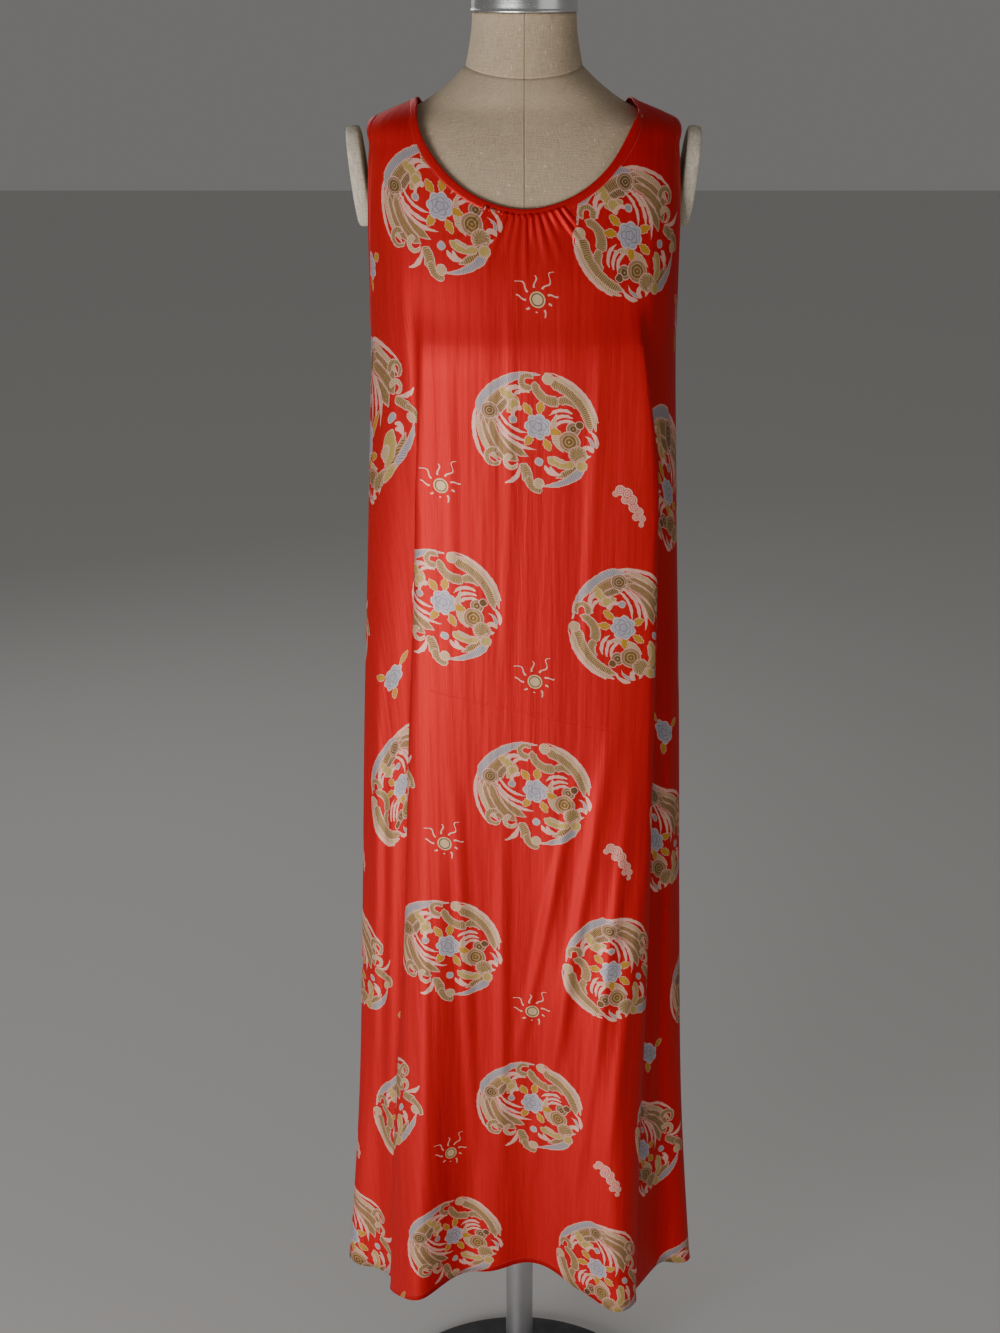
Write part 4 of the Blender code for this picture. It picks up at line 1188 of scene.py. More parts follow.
# Strokes of the roundel in shares of its radius, each an arc about x, y from start degrees and on by sweep.
# wide and narrow are its half widths at the two ends, ends is how bluntly it stops, and grain is the
# drawing inside, count times. A radius of 0 makes a disc.
STROKES = table("x y radius start sweep wide narrow ends colour grain count", [
    # the bird's wing along the rim, and its shoulder
    (0.00, 0.00, 1.00, 158, 56, 0.018, 0.020, 4, "outline", "plain", 1),
    (0.00, 0.00, 0.93, 87, 84, 0.020, 0.125, 6, "lavender", "barbs", 30),
    (0.00, 0.00, 0.79, 114, 72, 0.060, 0.150, 5, "tan", "barbs", 24),
    (0.00, 0.00, 0.66, 122, 44, 0.040, 0.070, 4, "taupe", "barbs", 12),
    (-0.75, 0.26, 0.00, 0, 360, 0.130, 0.130, 9, "taupe", "quills", 3),
    # its long plumes and ribbons
    (0.05, 0.18, 0.99, 181, 46, 0.030, 0.045, 5, "cream", "barbs", 18),
    (0.05, 0.18, 0.90, 182, 50, 0.030, 0.055, 7, "tan", "quills", 2),
    (0.05, 0.18, 0.78, 182, 62, 0.050, 0.085, 7, "tan", "quills", 3),
    (0.06, 0.20, 0.66, 186, 66, 0.030, 0.070, 6, "tan", "quills", 3),
    (-0.10, 0.42, 0.60, 202, 62, 0.012, 0.022, 4, "outline", "plain", 1),
    (-0.04, 0.37, 0.67, 206, 62, 0.012, 0.026, 4, "outline", "plain", 1),
    (-0.14, 0.46, 0.50, 205, 58, 0.010, 0.018, 4, "outline", "plain", 1),
    (-0.68, -0.50, 0.115, 50, 285, 0.048, 0.022, 9, "khaki", "scales", 11),
    (-0.40, -0.55, 0.095, 80, 270, 0.042, 0.020, 9, "cream", "scales", 9),
    (-0.45, -0.80, 0.31, -16, 66, 0.080, 0.070, 7, "khaki", "scales", 7),
    (0.05, -0.80, 0.17, 165, 120, 0.060, 0.050, 9, "khaki", "scales", 8),
    (0.04, -0.86, 0.00, 0, 360, 0.078, 0.078, 9, "cream", "scales", 8),
    (-0.56, -0.62, 0.29, -78, 80, 0.030, 0.030, 2.4, "outline", "plain", 1),
    # its neck, head and crest
    (-0.60, 0.41, 0.20, -48, 140, 0.050, 0.075, 8, "head", "scales", 9),
    (-0.46, 0.43, 0.15, -70, 130, 0.028, 0.026, 5, "leaf", "barbs", 9),
    (-0.37, 0.41, 0.00, 0, 360, 0.080, 0.080, 9, "head", "scales", 5),
    (-0.28, 0.36, 0.00, 0, 360, 0.035, 0.035, 9, "cream", "plain", 1),
    (-0.30, 0.38, 0.31, 62, 66, 0.012, 0.030, 4, "outline", "plain", 1),
    (-0.20, 0.44, 0.20, 66, 80, 0.010, 0.024, 4, "outline", "plain", 1),
    (-0.24, 0.24, 0.14, 95, 120, 0.012, 0.022, 4, "outline", "plain", 1),
    (-0.38, 0.16, 0.00, 0, 360, 0.055, 0.055, 9, "lavender", "scales", 5),
    # the dragon's body, from the curl at the top to the rim
    (0.00, 0.00, 1.00, 14, 58, 0.016, 0.020, 4, "outline", "plain", 1),
    (-0.15, 0.80, 0.100, 30, 285, 0.030, 0.050, 9, "khaki", "scales", 11),
    (0.25, 0.81, 0.29, 178, 116, 0.055, 0.085, 9, "khaki", "scales", 15),
    (0.48, 0.34, 0.22, 34, 96, 0.070, 0.060, 9, "khaki", "scales", 9),
    (0.00, 0.00, 0.86, 4, 76, 0.060, 0.095, 8, "khaki", "scales", 24),
    (0.00, 0.00, 0.945, 6, 70, 0.026, 0.030, 8, "cream", "barbs", 26),
    (0.17, 0.88, 0.00, 0, 360, 0.085, 0.085, 9, "cream", "scales", 9),
    # its mane and claws
    (0.42, 0.10, 0.29, 62, 72, 0.014, 0.022, 4, "outline", "plain", 1),
    (0.46, 0.02, 0.28, 66, 74, 0.012, 0.022, 4, "outline", "plain", 1),
    (0.50, -0.05, 0.27, 70, 72, 0.012, 0.020, 4, "outline", "plain", 1),
    (0.70, -0.12, 0.26, -14, 66, 0.032, 0.012, 4, "outline", "plain", 1),
    (0.72, -0.16, 0.17, -20, 80, 0.026, 0.012, 4, "lavender", "barbs", 8),
    (0.82, -0.26, 0.075, 0, 300, 0.032, 0.020, 9, "outline", "scales", 7),
    # its leg, flank and belly
    (0.58, 0.10, 0.00, 0, 360, 0.105, 0.105, 9, "taupe", "quills", 2),
    (0.68, 0.17, 0.00, 0, 360, 0.060, 0.060, 9, "taupe", "plain", 1),
    (0.85, 0.10, 0.58, 158, 64, 0.026, 0.062, 4, "cream", "barbs", 15),
    (0.52, -0.12, 0.00, 0, 360, 0.165, 0.165, 9, "tan", "quills", 3),
    (0.66, -0.32, 0.00, 0, 360, 0.140, 0.140, 9, "khaki", "scales", 9),
    # its head, with the small pearl, and the blade under it
    (0.05, 0.00, 0.78, -70, 42, 0.040, 0.085, 4, "tan", "barbs", 11),
    (0.02, 0.02, 0.92, -86, 54, 0.016, 0.085, 4, "lavender", "barbs", 20),
    (0.45, -0.10, 0.41, 228, 66, 0.060, 0.060, 7, "head", "scales", 9),
    (0.72, -0.50, 0.00, 0, 360, 0.085, 0.085, 9, "head", "scales", 6),
    (0.47, -0.16, 0.30, 226, 46, 0.024, 0.030, 4, "cream", "barbs", 7),
    (0.32, -0.50, 0.19, 196, 76, 0.030, 0.014, 4, "outline", "plain", 1),
    (0.38, -0.52, 0.16, 190, 80, 0.022, 0.014, 4, "outline", "plain", 1),
    (0.04, -0.50, 0.00, 0, 360, 0.058, 0.058, 9, "lavender", "plain", 1),
])

# Leaves round the peony: direction in degrees, and distance from its middle
PEONY_LEAVES = [(122, 0.32), (84, 0.32), (-122, 0.27), (-62, 0.32), (-12, 0.27)]
SPRIG_LEAVES = [(35, 0.26), (150, 0.26), (-90, 0.24)]

# Puffs of the cloud: place and radius, in shares of its reach
CLOUD_PUFFS = [
    (-0.62, 0.95, 0.30), (-0.24, 0.78, 0.34), (0.02, 0.42, 0.34), (-0.34, 0.40, 0.24), (0.16, 0.00, 0.30),
    (0.46, -0.24, 0.28), (0.30, -0.56, 0.22), (0.66, -0.62, 0.22), (0.62, -0.98, 0.16), (-0.90, 0.72, 0.18),
]


class SatinPrint:
    """Draws the print: where each motif lies, and what is in it."""

    def __init__(self, finish, palette, ground):
        self.finish = finish
        self.palette = palette
        self.ground = ground
        self.u, self.v = finish.parts(finish.uv())
        place, self.in_roundel, kinds = self.nearest(ROUNDEL_AT, ROUNDEL_EDGE * ROUNDEL_RADIUS)
        self.roundel = self.drawing_place(place, kinds)

    def cell(self, column_at, row_at):
        """Place in the repeat round this column and row, and whether the column's number is odd."""
        step = (self.u - column_at) / COLUMN_PAIR + 0.5
        x = (step.fract() - 0.5) * COLUMN_PAIR
        y = (((self.v - row_at) / REPEAT + 0.5).fract() - 0.5) * REPEAT
        odd = (step.floor() * 0.5).fract() > 0.25
        return self.finish.vector(x, y), odd

    def nearest(self, row_at, reach):
        """Place from the middle of the nearest motif, whether it is within reach, and which kind it is."""
        first, first_odd = self.cell(COLUMN_AT, row_at)
        second, second_odd = self.cell(COLUMN_AT + COLUMN_PAIR / 2, row_at + REPEAT / 2)
        in_first = self.finish.length(first) < reach
        place = self.choose(in_first, second, first)
        inside = self.finish.length(place) < reach
        return place, inside, (in_first, first_odd, second_odd)

    def choose(self, mask, outside, inside):
        """The place inside where the mask is 1, and outside elsewhere."""
        node = self.finish.node("ShaderNodeMix", {"data_type": "VECTOR"}, {0: mask, 4: outside, 5: inside})
        return node.outputs[1]

    def drawing_place(self, place, kinds):
        """The place in shares of the roundel's radius, a little unsteady, and turned in every other one."""
        finish = self.finish
        in_first, first_odd, second_odd = kinds
        other = in_first * first_odd + (1.0 - in_first) * (1.0 - second_odd)
        sway = (finish.noise(finish.uv(), SWAY_SCALE, 1.0) - 0.5) * (2 * SWAY)
        reversed_uv = finish.stretched(finish.uv(), (-1.0, 1.0, 1.0))
        swing = (finish.noise(reversed_uv, SWAY_SCALE, 1.0) - 0.5) * (2 * SWAY)
        place = finish.stretched(place, (1 / ROUNDEL_RADIUS,) * 3)
        place = finish.shifted(place, finish.vector(sway, swing))
        mirrored = finish.turned(finish.stretched(place, (-1.0, 1.0, 1.0)), OTHER_TURN)
        return self.choose(other, place, mirrored)

    def stroke(self, under, row):
        """One stroke over the colour under it, with its outline and the drawing inside."""
        finish = self.finish
        rel = finish.shifted(self.roundel, (row["x"], row["y"], 0.0))
        across = finish.length(rel)
        thick = max(row["wide"], row["narrow"])
        full = row["sweep"] >= 360
        if row["radius"]:
            across = across - row["radius"]
        if not full or row["grain"] != "plain":
            x, y = finish.parts(rel)
            start = math.radians(row["start"])
            turn = y.direction(x).wrapped(start, start + 2 * math.pi)
            run = (turn - start) / math.radians(row["sweep"])
        aside = abs(across)
        if full:
            edge = aside - row["wide"]
        else:
            ends = (run * row["ends"]).least((1.0 - run) * row["ends"]).least(1.0)
            edge = aside - finish.ramp(run, row["wide"], row["narrow"]) * ends
        colour = self.palette[row["colour"]]
        under = finish.mix(edge < LINE, under, self.palette["outline"])
        if row["grain"] == "plain":
            return finish.mix(edge < 0.0, under, colour)
        pale = tuple(0.62 * a + 0.38 * b for a, b in zip(colour, self.palette["outline"]))
        body = finish.mix(finish.ramp(edge, 0.0, 1.0, -0.4 * thick, 0.0), colour, pale)
        if row["grain"] == "barbs":
            line = (run * (1.4 * row["count"]) + across * 5.0).fract() < 0.36
        elif row["grain"] == "scales":
            bow = (across / thick) ** 2.0
            line = (run * (1.5 * row["count"]) + bow * 0.9).fract() < 0.38
        else:
            line = (aside * (row["count"] / row["wide"])).fract() < 0.30
        ink = self.palette["taupe" if row["colour"] in ("cream", "lavender") else "cream"]
        return finish.mix(edge < 0.0, under, finish.mix(line * GRAIN_SHARE, body, ink))

    def half_roundel(self, way):
        """All strokes that reach into the left or the right half of the roundel, and the peony."""
        colour = self.ground
        for row in STROKES:
            angles = np.radians(row["start"] + np.linspace(0, row["sweep"], 40))
            spread = max(row["wide"], row["narrow"]) + LINE + 2 * SWAY
            if (way * (row["x"] + row["radius"] * np.cos(angles))).max() + spread > 0:
                colour = self.stroke(colour, row)
        middle = self.finish.shifted(self.roundel, (PEONY_X, PEONY_Y, 0.0))
        return self.flower(middle, colour, PEONY_RADIUS, PEONY_LEAVES, LINE)

    def flower(self, place, under, radius, leaves, line):
        """A peony with scalloped petals in rounds, on its gold leaves."""
        finish = self.finish
        for angle, distance in leaves:
            angle = math.radians(angle)
            ahead = (math.cos(angle), math.sin(angle), 0.0)
            beside = (-math.sin(angle), math.cos(angle), 0.0)
            x = finish.along(place, ahead) - distance
            y = abs(finish.along(place, beside))
            lobes = abs((x * (3.4 / radius)).fract() - 0.5) * (0.22 * radius)
            lens = y * 1.7 + (x * x) * (1.6 / radius) + lobes
            under = finish.mix(lens < 0.62 * radius, under, self.palette["outline"])
            under = finish.mix(lens < 0.53 * radius, under, self.palette["leaf"])
        far = finish.length(place)
        x, y = finish.parts(place)
        turn = y.direction(x)
        scallop = abs((turn * 3.5).sin()) * 0.18 + 0.84
        size = far / scallop
        under = finish.mix(size < radius + line, under, self.palette["outline"])
        paler = (far * (1.0 / radius)) ** 2.0
        petals = finish.mix(paler, self.palette["lavender"], self.palette["petal_edge"])
        inner = abs(((turn + 0.45) * 2.5).sin()) * 0.26 + 0.78
        rings = (far / inner).near(0.64 * radius, 0.040 * radius).either(
            (far * inner).near(0.30 * radius, 0.035 * radius)).either(
            size.near(0.86 * radius, 0.028 * radius))
        petals = finish.mix(rings * 0.7, petals, self.palette["petal_line"])
        return finish.mix(size < radius, under, petals)

    def pearl(self, place, under):
        """A ringed pearl with wavy flames round it, longer above."""
        finish = self.finish
        far = finish.length(place) / PEARL_RADIUS
        x, y = finish.parts(place)
        turn = y.direction(x) * (9 / (2 * math.pi)) + (far * 9.5).sin() * 0.17
        flame = abs(turn.fract() - 0.5) * far
        reach = (turn.floor() * 2.3).sin() * 0.18 + y * (0.34 / PEARL_RADIUS) + 0.80
        flames = (flame < finish.ramp(far, 0.062, 0.030, 0.42, 1.0)) * (far < reach) * (far > 0.47)
        colour = finish.mix(flames, under, self.palette["outline"])
        colour = finish.mix(far < 0.32, colour, self.palette["cream"])
        return finish.mix(far.near(0.235, 0.025), colour, self.palette["taupe"])

    def cloud(self, place, under):
        """A scrolled cloud on a slant, of puffs with a curl in each."""
        finish = self.finish
        nearest = None
        for x, y, radius in CLOUD_PUFFS:
            far = finish.length(finish.shifted(place, (x * CLOUD_REACH, y * CLOUD_REACH, 0.0)))
            far = far / (radius * CLOUD_REACH)
            nearest = far if nearest is None else nearest.least(far)
        colour = finish.mix(nearest < 1.0, under, self.palette["outline"])
        curls = nearest.near(0.66, 0.07).either(nearest.near(0.30, 0.07))
        puff = finish.mix(curls * 0.85, self.palette["outline"], self.palette["ground"])
        return finish.mix(nearest < 0.88, colour, puff)

    def small_motif(self):
        """Which part of the cloth holds the small motifs, and their colour."""
        finish = self.finish
        place, inside, (in_first, first_odd, second_odd) = self.nearest(ROUNDEL_AT + SMALL_ABOVE, SMALL_EDGE)
        pearl = in_first * (1.0 - first_odd) + (1.0 - in_first) * second_odd
        cloud = (1.0 - in_first) * (1.0 - second_odd)
        grown = finish.stretched(place, (1 / SPRIG_SCALE,) * 3)
        sprig = self.flower(grown, self.ground, SPRIG_RADIUS / SPRIG_SCALE, SPRIG_LEAVES, LINE)
        colour = finish.mix(cloud, sprig, self.cloud(place, self.ground))
        return inside, finish.mix(pearl, colour, self.pearl(place, self.ground))


def tinted(colour, factor):
    """A colour made darker or lighter."""
    return tuple(min(1.0, factor * c) for c in colour)


def satin_finish(colours):
    """Thin crinkled red satin with the print on it."""
    finish = Finish("printed satin")
    uv = finish.uv()
    palette = {key: tuple(getattr(colours, key)) for key in PRINT_KEYS}
    palette["petal_edge"] = tinted(palette["lavender"], 1.35)
    palette["petal_line"] = tinted(palette["lavender"], 0.40)
    streaks = finish.noise(finish.stretched(uv, (380.0, 12.0, 1.0)), 1.0, 3.0, 0.6)
    ground = finish.mix(streaks, tinted(palette["ground"], 0.84), tinted(palette["ground"], 1.14))
    slack = finish.noise(finish.stretched(uv, (46.0, 3.0, 1.0)), 1.0, 2.0, 0.5)
    crinkle = finish.noise(finish.stretched(uv, (150.0, 7.0, 1.0)), 1.0, 4.0, 0.55) * 0.8 + slack * 2.6
    slub = finish.noise(finish.stretched(uv, (620.0, 28.0, 1.0)), 1.0, 2.0, 0.5)
    look = {
        "Roughness": 0.46 + streaks * 0.12,
        "Specular IOR Level": 0.42,
        "Specular Tint": SATIN_TINT,
        "Metallic": SATIN_METALLIC,
        "Normal": finish.bump(crinkle + slub * 0.14 - storage_crease(finish), 0.0011, 0.66),
    }
    printed = SatinPrint(finish, palette, ground)
    worn = (finish.noise(finish.stretched(uv, (900.0, 60.0, 1.0)), 1.0, 2.0, 0.6) > 0.62) * 0.12
    halves_of_roundel = [
        finish.coat({"Base Color": finish.mix(worn, printed.half_roundel(way), ground), **look})
        for way in (-1, 1)]
    right = finish.parts(printed.roundel)[0] > 0.0
    coat = finish.choose_coat(right, *halves_of_roundel)
    coat = finish.choose_coat(printed.in_roundel, finish.coat({"Base Color": ground, **look}), coat)
    inside, colour = printed.small_motif()
    small = finish.coat({"Base Color": finish.mix(worn, colour, ground), **look})
    return finish.show(finish.choose_coat(inside, coat, small))


def storage_crease(finish):
    """A faint level crease where the dress was once folded in half."""
    u, v = finish.parts(finish.uv())
    line = v - (CREASE_Z + u * CREASE_SLOPE)
    return (1.0 - abs(line) / CREASE_HALF_WIDTH).most(0.0) * (abs(u) < CREASE_REACH) * 0.32


def plain_satin_finish(colours):
    """The same satin without a motif, for the narrow strips. Its red is painted lighter on the crests of its
    small folds and darker in their troughs, as painted highlight and painted shade.
    """
    finish = Finish("plain satin")
    uv = finish.uv()
    ground = tuple(colours.ground)
    fold = finish.noise(finish.stretched(uv, (260.0, 500.0, 1.0)), 1.0, 3.0, 0.6)
    # painted shade and highlight: the red follows the small folds of the bump, darker in their troughs and
    # lighter on their crests
    colour = finish.mix(fold, tinted(ground, 0.82), tinted(ground, 1.15))
    return finish.surface(
        Base_Color=colour, Roughness=0.42, Specular_Tint=SATIN_TINT, Metallic=SATIN_METALLIC,
        Normal=finish.bump(fold, 0.0005, 0.7))


def thread_finish(colours):
    """Sewing thread with its twist."""
    finish = Finish("red thread")
    ground = tuple(colours.ground)
    twist = finish.noise(finish.place(), 2400.0)
    pale = tuple(min(1.0, c + 0.10) for c in ground)
    colour = finish.mix(twist, tinted(ground, 0.7), pale)
    return finish.surface(Base_Color=colour, Roughness=0.5, Normal=finish.bump(twist, 0.0002, 0.6))


def linen_finish(name, base, slub_colour, seam=False, crumple=0.0):
    """Plain-woven cloth with thicker threads here and there, and on the torso a seam down the middle."""
    finish = Finish(name)
    uv = finish.uv()
    u, v = finish.parts(uv)
    warp = finish.noise(finish.stretched(uv, (1300.0, 90.0, 1.0)), 1.0, 3.0, 0.6)
    weft = finish.noise(finish.stretched(uv, (90.0, 1300.0, 1.0)), 1.0, 3.0, 0.6)
    threads = warp + weft
    stain = finish.noise(uv, 14.0, 4.0, 0.65)
    colour = finish.mix(stain, tinted(base, 0.74), tinted(base, 1.16))
    colour = finish.mix(finish.ramp(threads, 0.55, 0.0, 0.80, 1.12), colour, slub_colour)
    dark = (warp > 0.64).either(weft > 0.65)
    pale = finish.noise(finish.stretched(uv, (420.0, 160.0, 1.0)), 1.0, 1.0, 0.5) > 0.70
    colour = finish.mix(dark * 0.34, colour, slub_colour)
    colour = finish.mix(pale * 0.55, colour, PALE_SLUB)
    weave = ((u * (2 * math.pi / WEAVE)).sin() * (v * (2 * math.pi / WEAVE)).sin()) * 0.25
    height = threads * 1.3 + weave + pale * 0.8
    if crumple:
        height = height + finish.noise(uv, 60.0, 3.0, 0.6) * crumple
    if seam:
        x = abs(finish.parts(finish.place())[0])
        groove = (1.0 - x / SEAM_GROOVE).most(0.0)
        colour = finish.mix(groove * 0.55, colour, slub_colour)
        height = height - groove * 1.8
    return finish.surface(
        Base_Color=colour, Roughness=0.88, Sheen_Weight=0.15, Normal=finish.bump(height, 0.0007, 0.8))


def metal_finish(name, base, rough, brush):
    """Metal with fine lines along the turning, and a few smears."""
    finish = Finish(name)
    where = finish.place()
    lines = finish.noise(finish.stretched(where, (8.0, 8.0, brush)), 1.0, 3.0, 0.6)
    smears = finish.noise(where, 34.0, 3.0, 0.6)
    colour = finish.mix(smears, tinted(base, 0.90), base)
    return finish.surface(
        Base_Color=colour, Metallic=1.0, Roughness=rough + smears * 0.16 + lines * 0.06,
        Normal=finish.bump(lines, 0.0002, 0.35))


def enamel_finish(base):
    """Black enamel over a slightly rough casting, worn at random."""
    finish = Finish("black enamel")
    where = finish.place()
    skin = finish.noise(where, 240.0, 3.0, 0.55)
    dust = finish.noise(where, 26.0, 4.0, 0.65)
    colour = finish.mix((dust - 0.45).most(0.0), base, tuple(min(1.0, c + 0.16) for c in base))
    return finish.surface(
        Base_Color=colour, Roughness=0.34 + dust * 0.22, Normal=finish.bump(skin, 0.0005, 0.35))


def floor_finish(colour):
    """A plain matt floor."""
    return Finish("pale floor").surface(Base_Color=tuple(colour), Roughness=0.9)


HALVES = {}


def halves():
    """The two surfaces of the dress, worked out once."""
    if not HALVES:
        HALVES["front"] = HalfDress(-1, FRONT_FOLDS, FRONT_CREASES, FRONT_HEM)
        HALVES["back"] = HalfDress(1, BACK_FOLDS, BACK_CREASES, BACK_HEM)
    return HALVES["front"], HALVES["back"]


def material(name, make):
    """The material of this name, made where it isn't there yet."""
    return bpy.data.materials.get(name) or make()


class DRESS_OT_panels(bpy.types.Operator):
    """Hang the front and back of the dress on the form"""

    bl_idname = "dress.panels"
    bl_label = "Dress panels"

    def execute(self, context):
        sizes = context.scene.dress_sizes
        front, back = halves()
        satin = material("printed satin", lambda: satin_finish(context.scene.dress_print))
        build_sheet("dress_front_cloth", front, sizes, satin, "dress_front")
        build_sheet("dress_back_cloth", back, sizes, satin, "dress_back")
        return {"FINISHED"}


class DRESS_OT_bindings(bpy.types.Operator):
    """Sew the bias strips round the neck and the armholes"""

    bl_idname = "dress.bindings"
    bl_label = "Bindings"

    def execute(self, context):
        front, back = halves()
        satin = material("plain satin", lambda: plain_satin_finish(context.scene.dress_print))
        turns = np.linspace(-1, 1, NECK_STRIP_POINTS)
        build_binding(
            "neck_binding_strip", front, back, neck_place, turns, NECK_BINDING, satin, "neck_binding")
        turns = np.linspace(0, 1, ARM_STRIP_POINTS)
        for side, way in SIDES:
            build_binding(
                f"armhole_strip_{side}", front, back, one_armhole(way), turns, ARM_BINDING, satin,
                f"armhole_binding_{side}")
        return {"FINISHED"}


class DRESS_OT_stitching(bpy.types.Operator):
    """Add the rows of stitches at the hem, the neck and the armholes"""

    bl_idname = "dress.stitching"
    bl_label = "Stitching"

    def execute(self, context):
        sizes = context.scene.dress_sizes
        front, back = halves()
        thread = material("red thread", lambda: thread_finish(context.scene.dress_print))
        stitch_row("front_hem_stitches", *hem_line(front, sizes), sizes, thread)
        stitch_row("back_hem_stitches", *hem_line(back, sizes), sizes, thread)
        turns = np.linspace(-1, 1, NECK_STRIP_POINTS)
        line = edge_line(front, back, neck_place, turns, NECK_BINDING + STITCH_BESIDE, sizes)
        stitch_row("neck_stitches", *line, sizes, thread)
        turns = np.linspace(0, 1, ARM_STRIP_POINTS)
        for side, way in SIDES:
            line = edge_line(front, back, one_armhole(way), turns, ARM_BINDING + STITCH_BESIDE, sizes)
            stitch_row(f"armhole_stitches_{side}", *line, sizes, thread)
        return {"FINISHED"}


class DRESS_OT_form(bpy.types.Operator):
    """Cover the torso and the neck of the form with linen"""

    bl_idname = "dress.form"
    bl_label = "Form"

    def execute(self, context):
        colours = context.scene.dress_form
        linen = material("linen cover", lambda: linen_finish(
            "linen cover", tuple(colours.linen), tuple(colours.slub), seam=True))
        heights = np.concatenate([
            np.linspace(TORSO_BOTTOM, FORM_TURN_Z, FORM_ROWS_BELOW, endpoint=False),
            np.linspace(FORM_TURN_Z, NECK_BASE_Z, FORM_ROWS_ABOVE)])
        rings = np.array([torso_ring(h, FORM_POINTS) for h in heights])
        round_piece("form_torso_cover", rings, linen, "linen", "form_torso")
        low = torso_ring(NECK_BASE_Z, FORM_POINTS) + np.array([0, 0, PIECE_GAP])
        angle = 2 * math.pi * np.arange(FORM_POINTS) / FORM_POINTS
        rows = []
        for t in np.linspace(0, 1, NECK_ROWS):
            share = math.sin(t * math.pi / 2)
            top_x, top_y = NECK_TOP_RADIUS * np.sin(angle), -NECK_TOP_RADIUS * np.cos(angle)
            rows.append(np.stack([
                low[:, 0] + (top_x - low[:, 0]) * share,
                low[:, 1] + (top_y - low[:, 1]) * share,
                low[:, 2] + (NECK_TOP_Z - low[:, 2]) * t], axis=-1))
        round_piece("form_neck_cover", np.array(rows), linen, "linen", "form_neck")
        return {"FINISHED"}


class DRESS_OT_neck_cap(bpy.types.Operator):
    """Set the metal cap on the neck"""

    bl_idname = "dress.neck_cap"
    bl_label = "Neck cap"

    def execute(self, context):
        colours = context.scene.dress_form
        metal = material("polished aluminium", lambda: metal_finish(
            "polished aluminium", tuple(colours.aluminium), rough=0.16, brush=900.0))
        low = NECK_TOP_Z + PIECE_GAP
        turned_piece("form_neck_cap_shell", [
            (CAP_RADIUS - 0.004, low),
            (CAP_RADIUS, low + 0.0002),
            (CAP_RADIUS + 0.0002, low + 0.0024),
            (CAP_RADIUS - 0.0006, low + 0.0032),
            (CAP_RADIUS - 0.0006, low + CAP_HEIGHT - 0.0050),
            (CAP_RADIUS - 0.0040, low + CAP_HEIGHT - 0.0014),
            (CAP_RADIUS - 0.0120, low + CAP_HEIGHT),
            (0.006, low + CAP_HEIGHT),
        ], metal, "aluminium", "form_neck_cap")
        return {"FINISHED"}


class DRESS_OT_arm_plates(bpy.types.Operator):
    """Set the covered oval plates at the form's armholes"""

    bl_idname = "dress.arm_plates"
    bl_label = "Arm plates"

    def execute(self, context):
        colours = context.scene.dress_form
        canvas = material("cream canvas", lambda: linen_finish(
            "cream canvas", tuple(colours.canvas), tuple(colours.slub), crumple=CANVAS_CRUMPLE))
        for side, way in SIDES:
            build_plate(f"form_arm_plate_cover_{side}", way, canvas, f"form_arm_plate_{side}")
        return {"FINISHED"}


class DRESS_OT_stand(bpy.types.Operator):
    """Build the base, the hub, the pole and the collar under the torso"""

    bl_idname = "dress.stand"
    bl_label = "Stand"

    def execute(self, context):
        colours = context.scene.dress_form
        enamel = material("black enamel", lambda: enamel_finish(tuple(colours.enamel)))
        steel = material("steel tube", lambda: metal_finish(
            "steel tube", tuple(colours.steel), rough=0.24, brush=60.0))
        hub_top = BASE_HEIGHT + HUB_HEIGHT
        turned_piece("stand_base_casting", [
            (BASE_RADIUS - 0.002, 0.0),
            (BASE_RADIUS, 0.0006),
            (BASE_RADIUS, BASE_HEIGHT - 0.014),
            (BASE_RADIUS - 0.004, BASE_HEIGHT - 0.010),
            (BASE_RADIUS - 0.020, BASE_HEIGHT - 0.006),
            (0.030, BASE_HEIGHT),
            (0.010, BASE_HEIGHT),
        ], enamel, "iron", "stand_base")
        turned_piece("stand_hub_casting", [
            (0.020, BASE_HEIGHT + PIECE_GAP),
            (0.0295, BASE_HEIGHT + PIECE_GAP),
            (0.029, BASE_HEIGHT + 0.006),
            (POLE_RADIUS + 0.006, BASE_HEIGHT + 0.020),
            (POLE_RADIUS + 0.006, hub_top - 0.003),
            (POLE_RADIUS + 0.004, hub_top),
            (POLE_RADIUS, hub_top),
        ], enamel, "iron", "stand_hub")
        collar_top = TORSO_BOTTOM - PIECE_GAP
        collar_low = collar_top - COLLAR_HEIGHT
        turned_piece("stand_pole_tube", [
            (POLE_RADIUS - 0.002, hub_top + PIECE_GAP),
            (POLE_RADIUS, hub_top + 0.0006),
            (POLE_RADIUS, collar_low - 0.0006),
            (POLE_RADIUS - 0.002, collar_low - PIECE_GAP),
        ], steel, "steel", "stand_pole")
        turned_piece("stand_collar_casting", [
            (POLE_RADIUS, collar_low),
            (POLE_RADIUS + 0.004, collar_low),
            (POLE_RADIUS + 0.006, collar_low + 0.002),
            (POLE_RADIUS + 0.008, collar_top - 0.012),
            (COLLAR_RADIUS, collar_top - 0.006),
            (COLLAR_RADIUS, collar_top),
            (COLLAR_RADIUS - 0.010, collar_top),
        ], enamel, "iron", "stand_collar")
        return {"FINISHED"}


class DRESS_OT_declare(bpy.types.Operator):
    """A step that does nothing: the flat sizes of the two panels and what they hang on are not stated"""

    bl_idname = "dress.declare"
    bl_label = "Cloth facts"

    def execute(self, context):
        return {"FINISHED"}


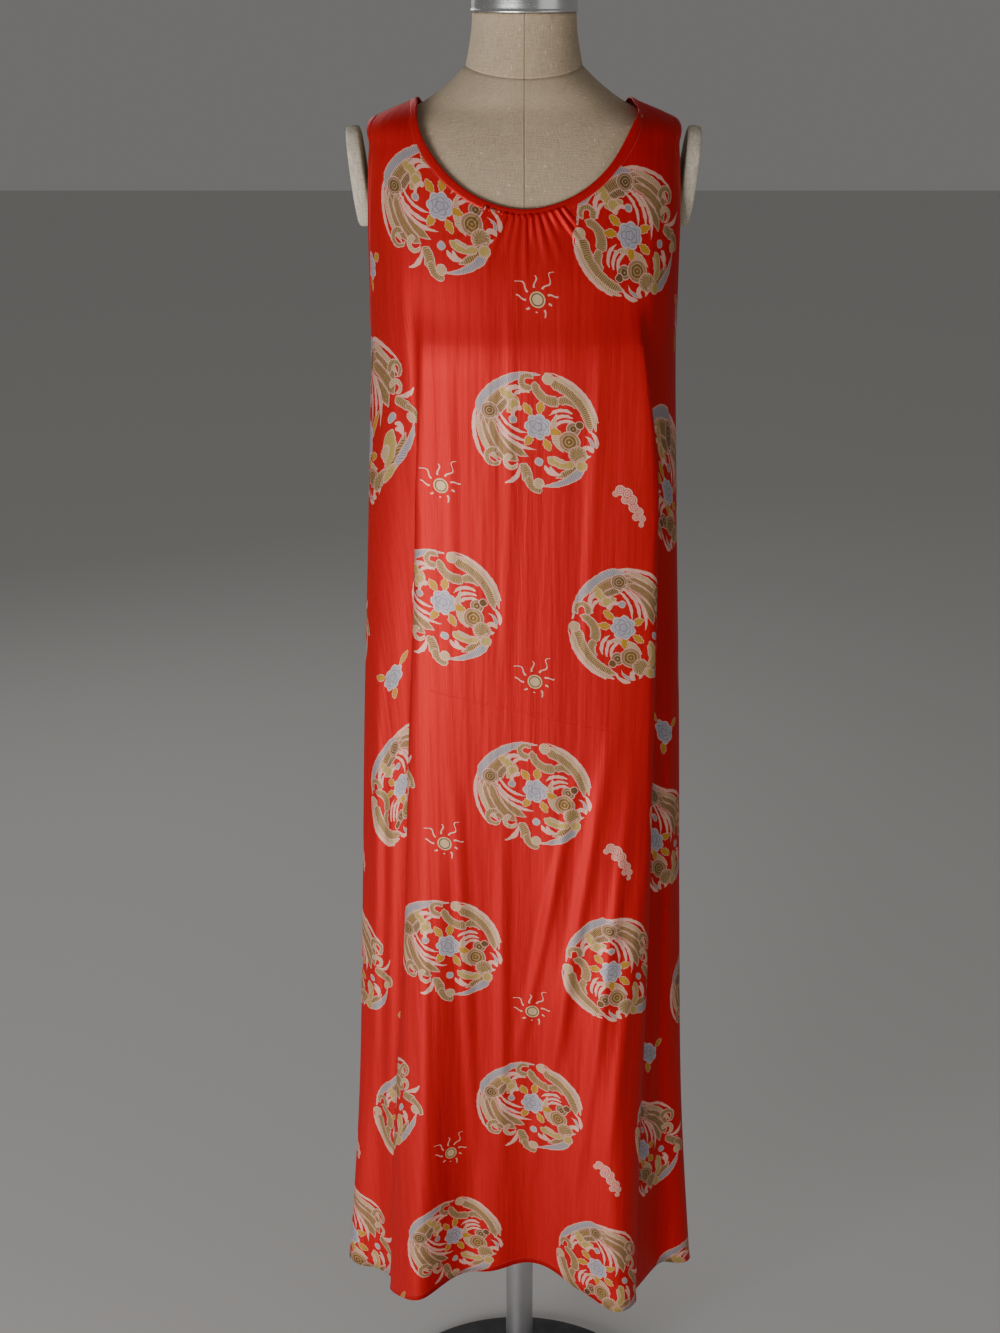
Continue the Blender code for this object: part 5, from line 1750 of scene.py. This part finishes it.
class DRESS_OT_stage(bpy.types.Operator):
    """Lay the floor, and set the lights and the camera"""

    bl_idname = "dress.stage"
    bl_label = "Stage"

    def execute(self, context):
        studio = context.scene.dress_studio
        floor = bpy.data.meshes.new("floor")
        corners = [(x * FLOOR_REACH, y * FLOOR_REACH, 0) for x, y in ((-1, -1), (1, -1), (1, 1), (-1, 1))]
        floor.from_pydata(corners, [], [(0, 1, 2, 3)])
        floor.materials.append(floor_finish(studio.floor))
        ground = add_object("floor", floor)
        ground.location.z = -FLOOR_BELOW
        for name, power, size, place, aim in LAMPS:
            lamp = bpy.data.lights.new(name, "AREA")
            lamp.energy = getattr(studio, power)
            lamp.size = size
            light = add_object(name, lamp)
            light.location = place
            away = [p - a for p, a in zip(place, aim)]
            light.rotation_euler = (
                math.atan2(math.hypot(away[0], away[1]), away[2]), 0.0,
                math.atan2(away[0], -away[1]))
        world = bpy.data.worlds.new("studio")
        world.use_nodes = True
        background = world.node_tree.nodes["Background"]
        background.inputs["Color"].default_value = WORLD_COLOUR
        background.inputs["Strength"].default_value = studio.world
        context.scene.world = world
        lens = bpy.data.cameras.new("camera")
        lens.lens = studio.lens
        lens.sensor_width = SENSOR_WIDTH
        camera = add_object("camera", lens)
        camera.location = studio.camera
        camera.rotation_euler = (math.pi / 2 - studio.pitch, 0.0, 0.0)
        context.scene.camera = camera
        return {"FINISHED"}


class DRESS_PT_sidebar(bpy.types.Panel):
    """Lists the pieces in the order in which they are made"""

    bl_idname = "DRESS_PT_sidebar"
    bl_label = "Dress on a form"
    bl_space_type = "VIEW_3D"
    bl_region_type = "UI"
    bl_category = "Dress"

    def draw(self, context):
        for step in STEPS:
            self.layout.operator(step.bl_idname)
        for group in ("dress_sizes", "dress_print", "dress_form", "dress_studio"):
            box = self.layout.box()
            settings = getattr(context.scene, group)
            for key in settings.__annotations__:
                box.prop(settings, key)


STEPS = (
    DRESS_OT_form, DRESS_OT_neck_cap, DRESS_OT_arm_plates, DRESS_OT_stand, DRESS_OT_panels,
    DRESS_OT_bindings, DRESS_OT_stitching, DRESS_OT_declare, DRESS_OT_stage,
)
GROUPS = {
    "dress_sizes": DressSizes,
    "dress_print": PrintColours,
    "dress_form": FormColours,
    "dress_studio": StudioSettings,
}


def register():
    for group in GROUPS.values():
        bpy.utils.register_class(group)
    for key, group in GROUPS.items():
        setattr(bpy.types.Scene, key, PointerProperty(type=group))
    for step in STEPS:
        bpy.utils.register_class(step)
    bpy.utils.register_class(DRESS_PT_sidebar)


def unregister():
    bpy.utils.unregister_class(DRESS_PT_sidebar)
    for step in reversed(STEPS):
        bpy.utils.unregister_class(step)
    for key, group in GROUPS.items():
        delattr(bpy.types.Scene, key)
        bpy.utils.unregister_class(group)


def main():
    """Makes every piece in its order."""
    register()
    for step in STEPS:
        family, name = step.bl_idname.split(".")
        getattr(getattr(bpy.ops, family), name)()
    bpy.context.view_layer.update()


if __name__ == "__main__":
    main()
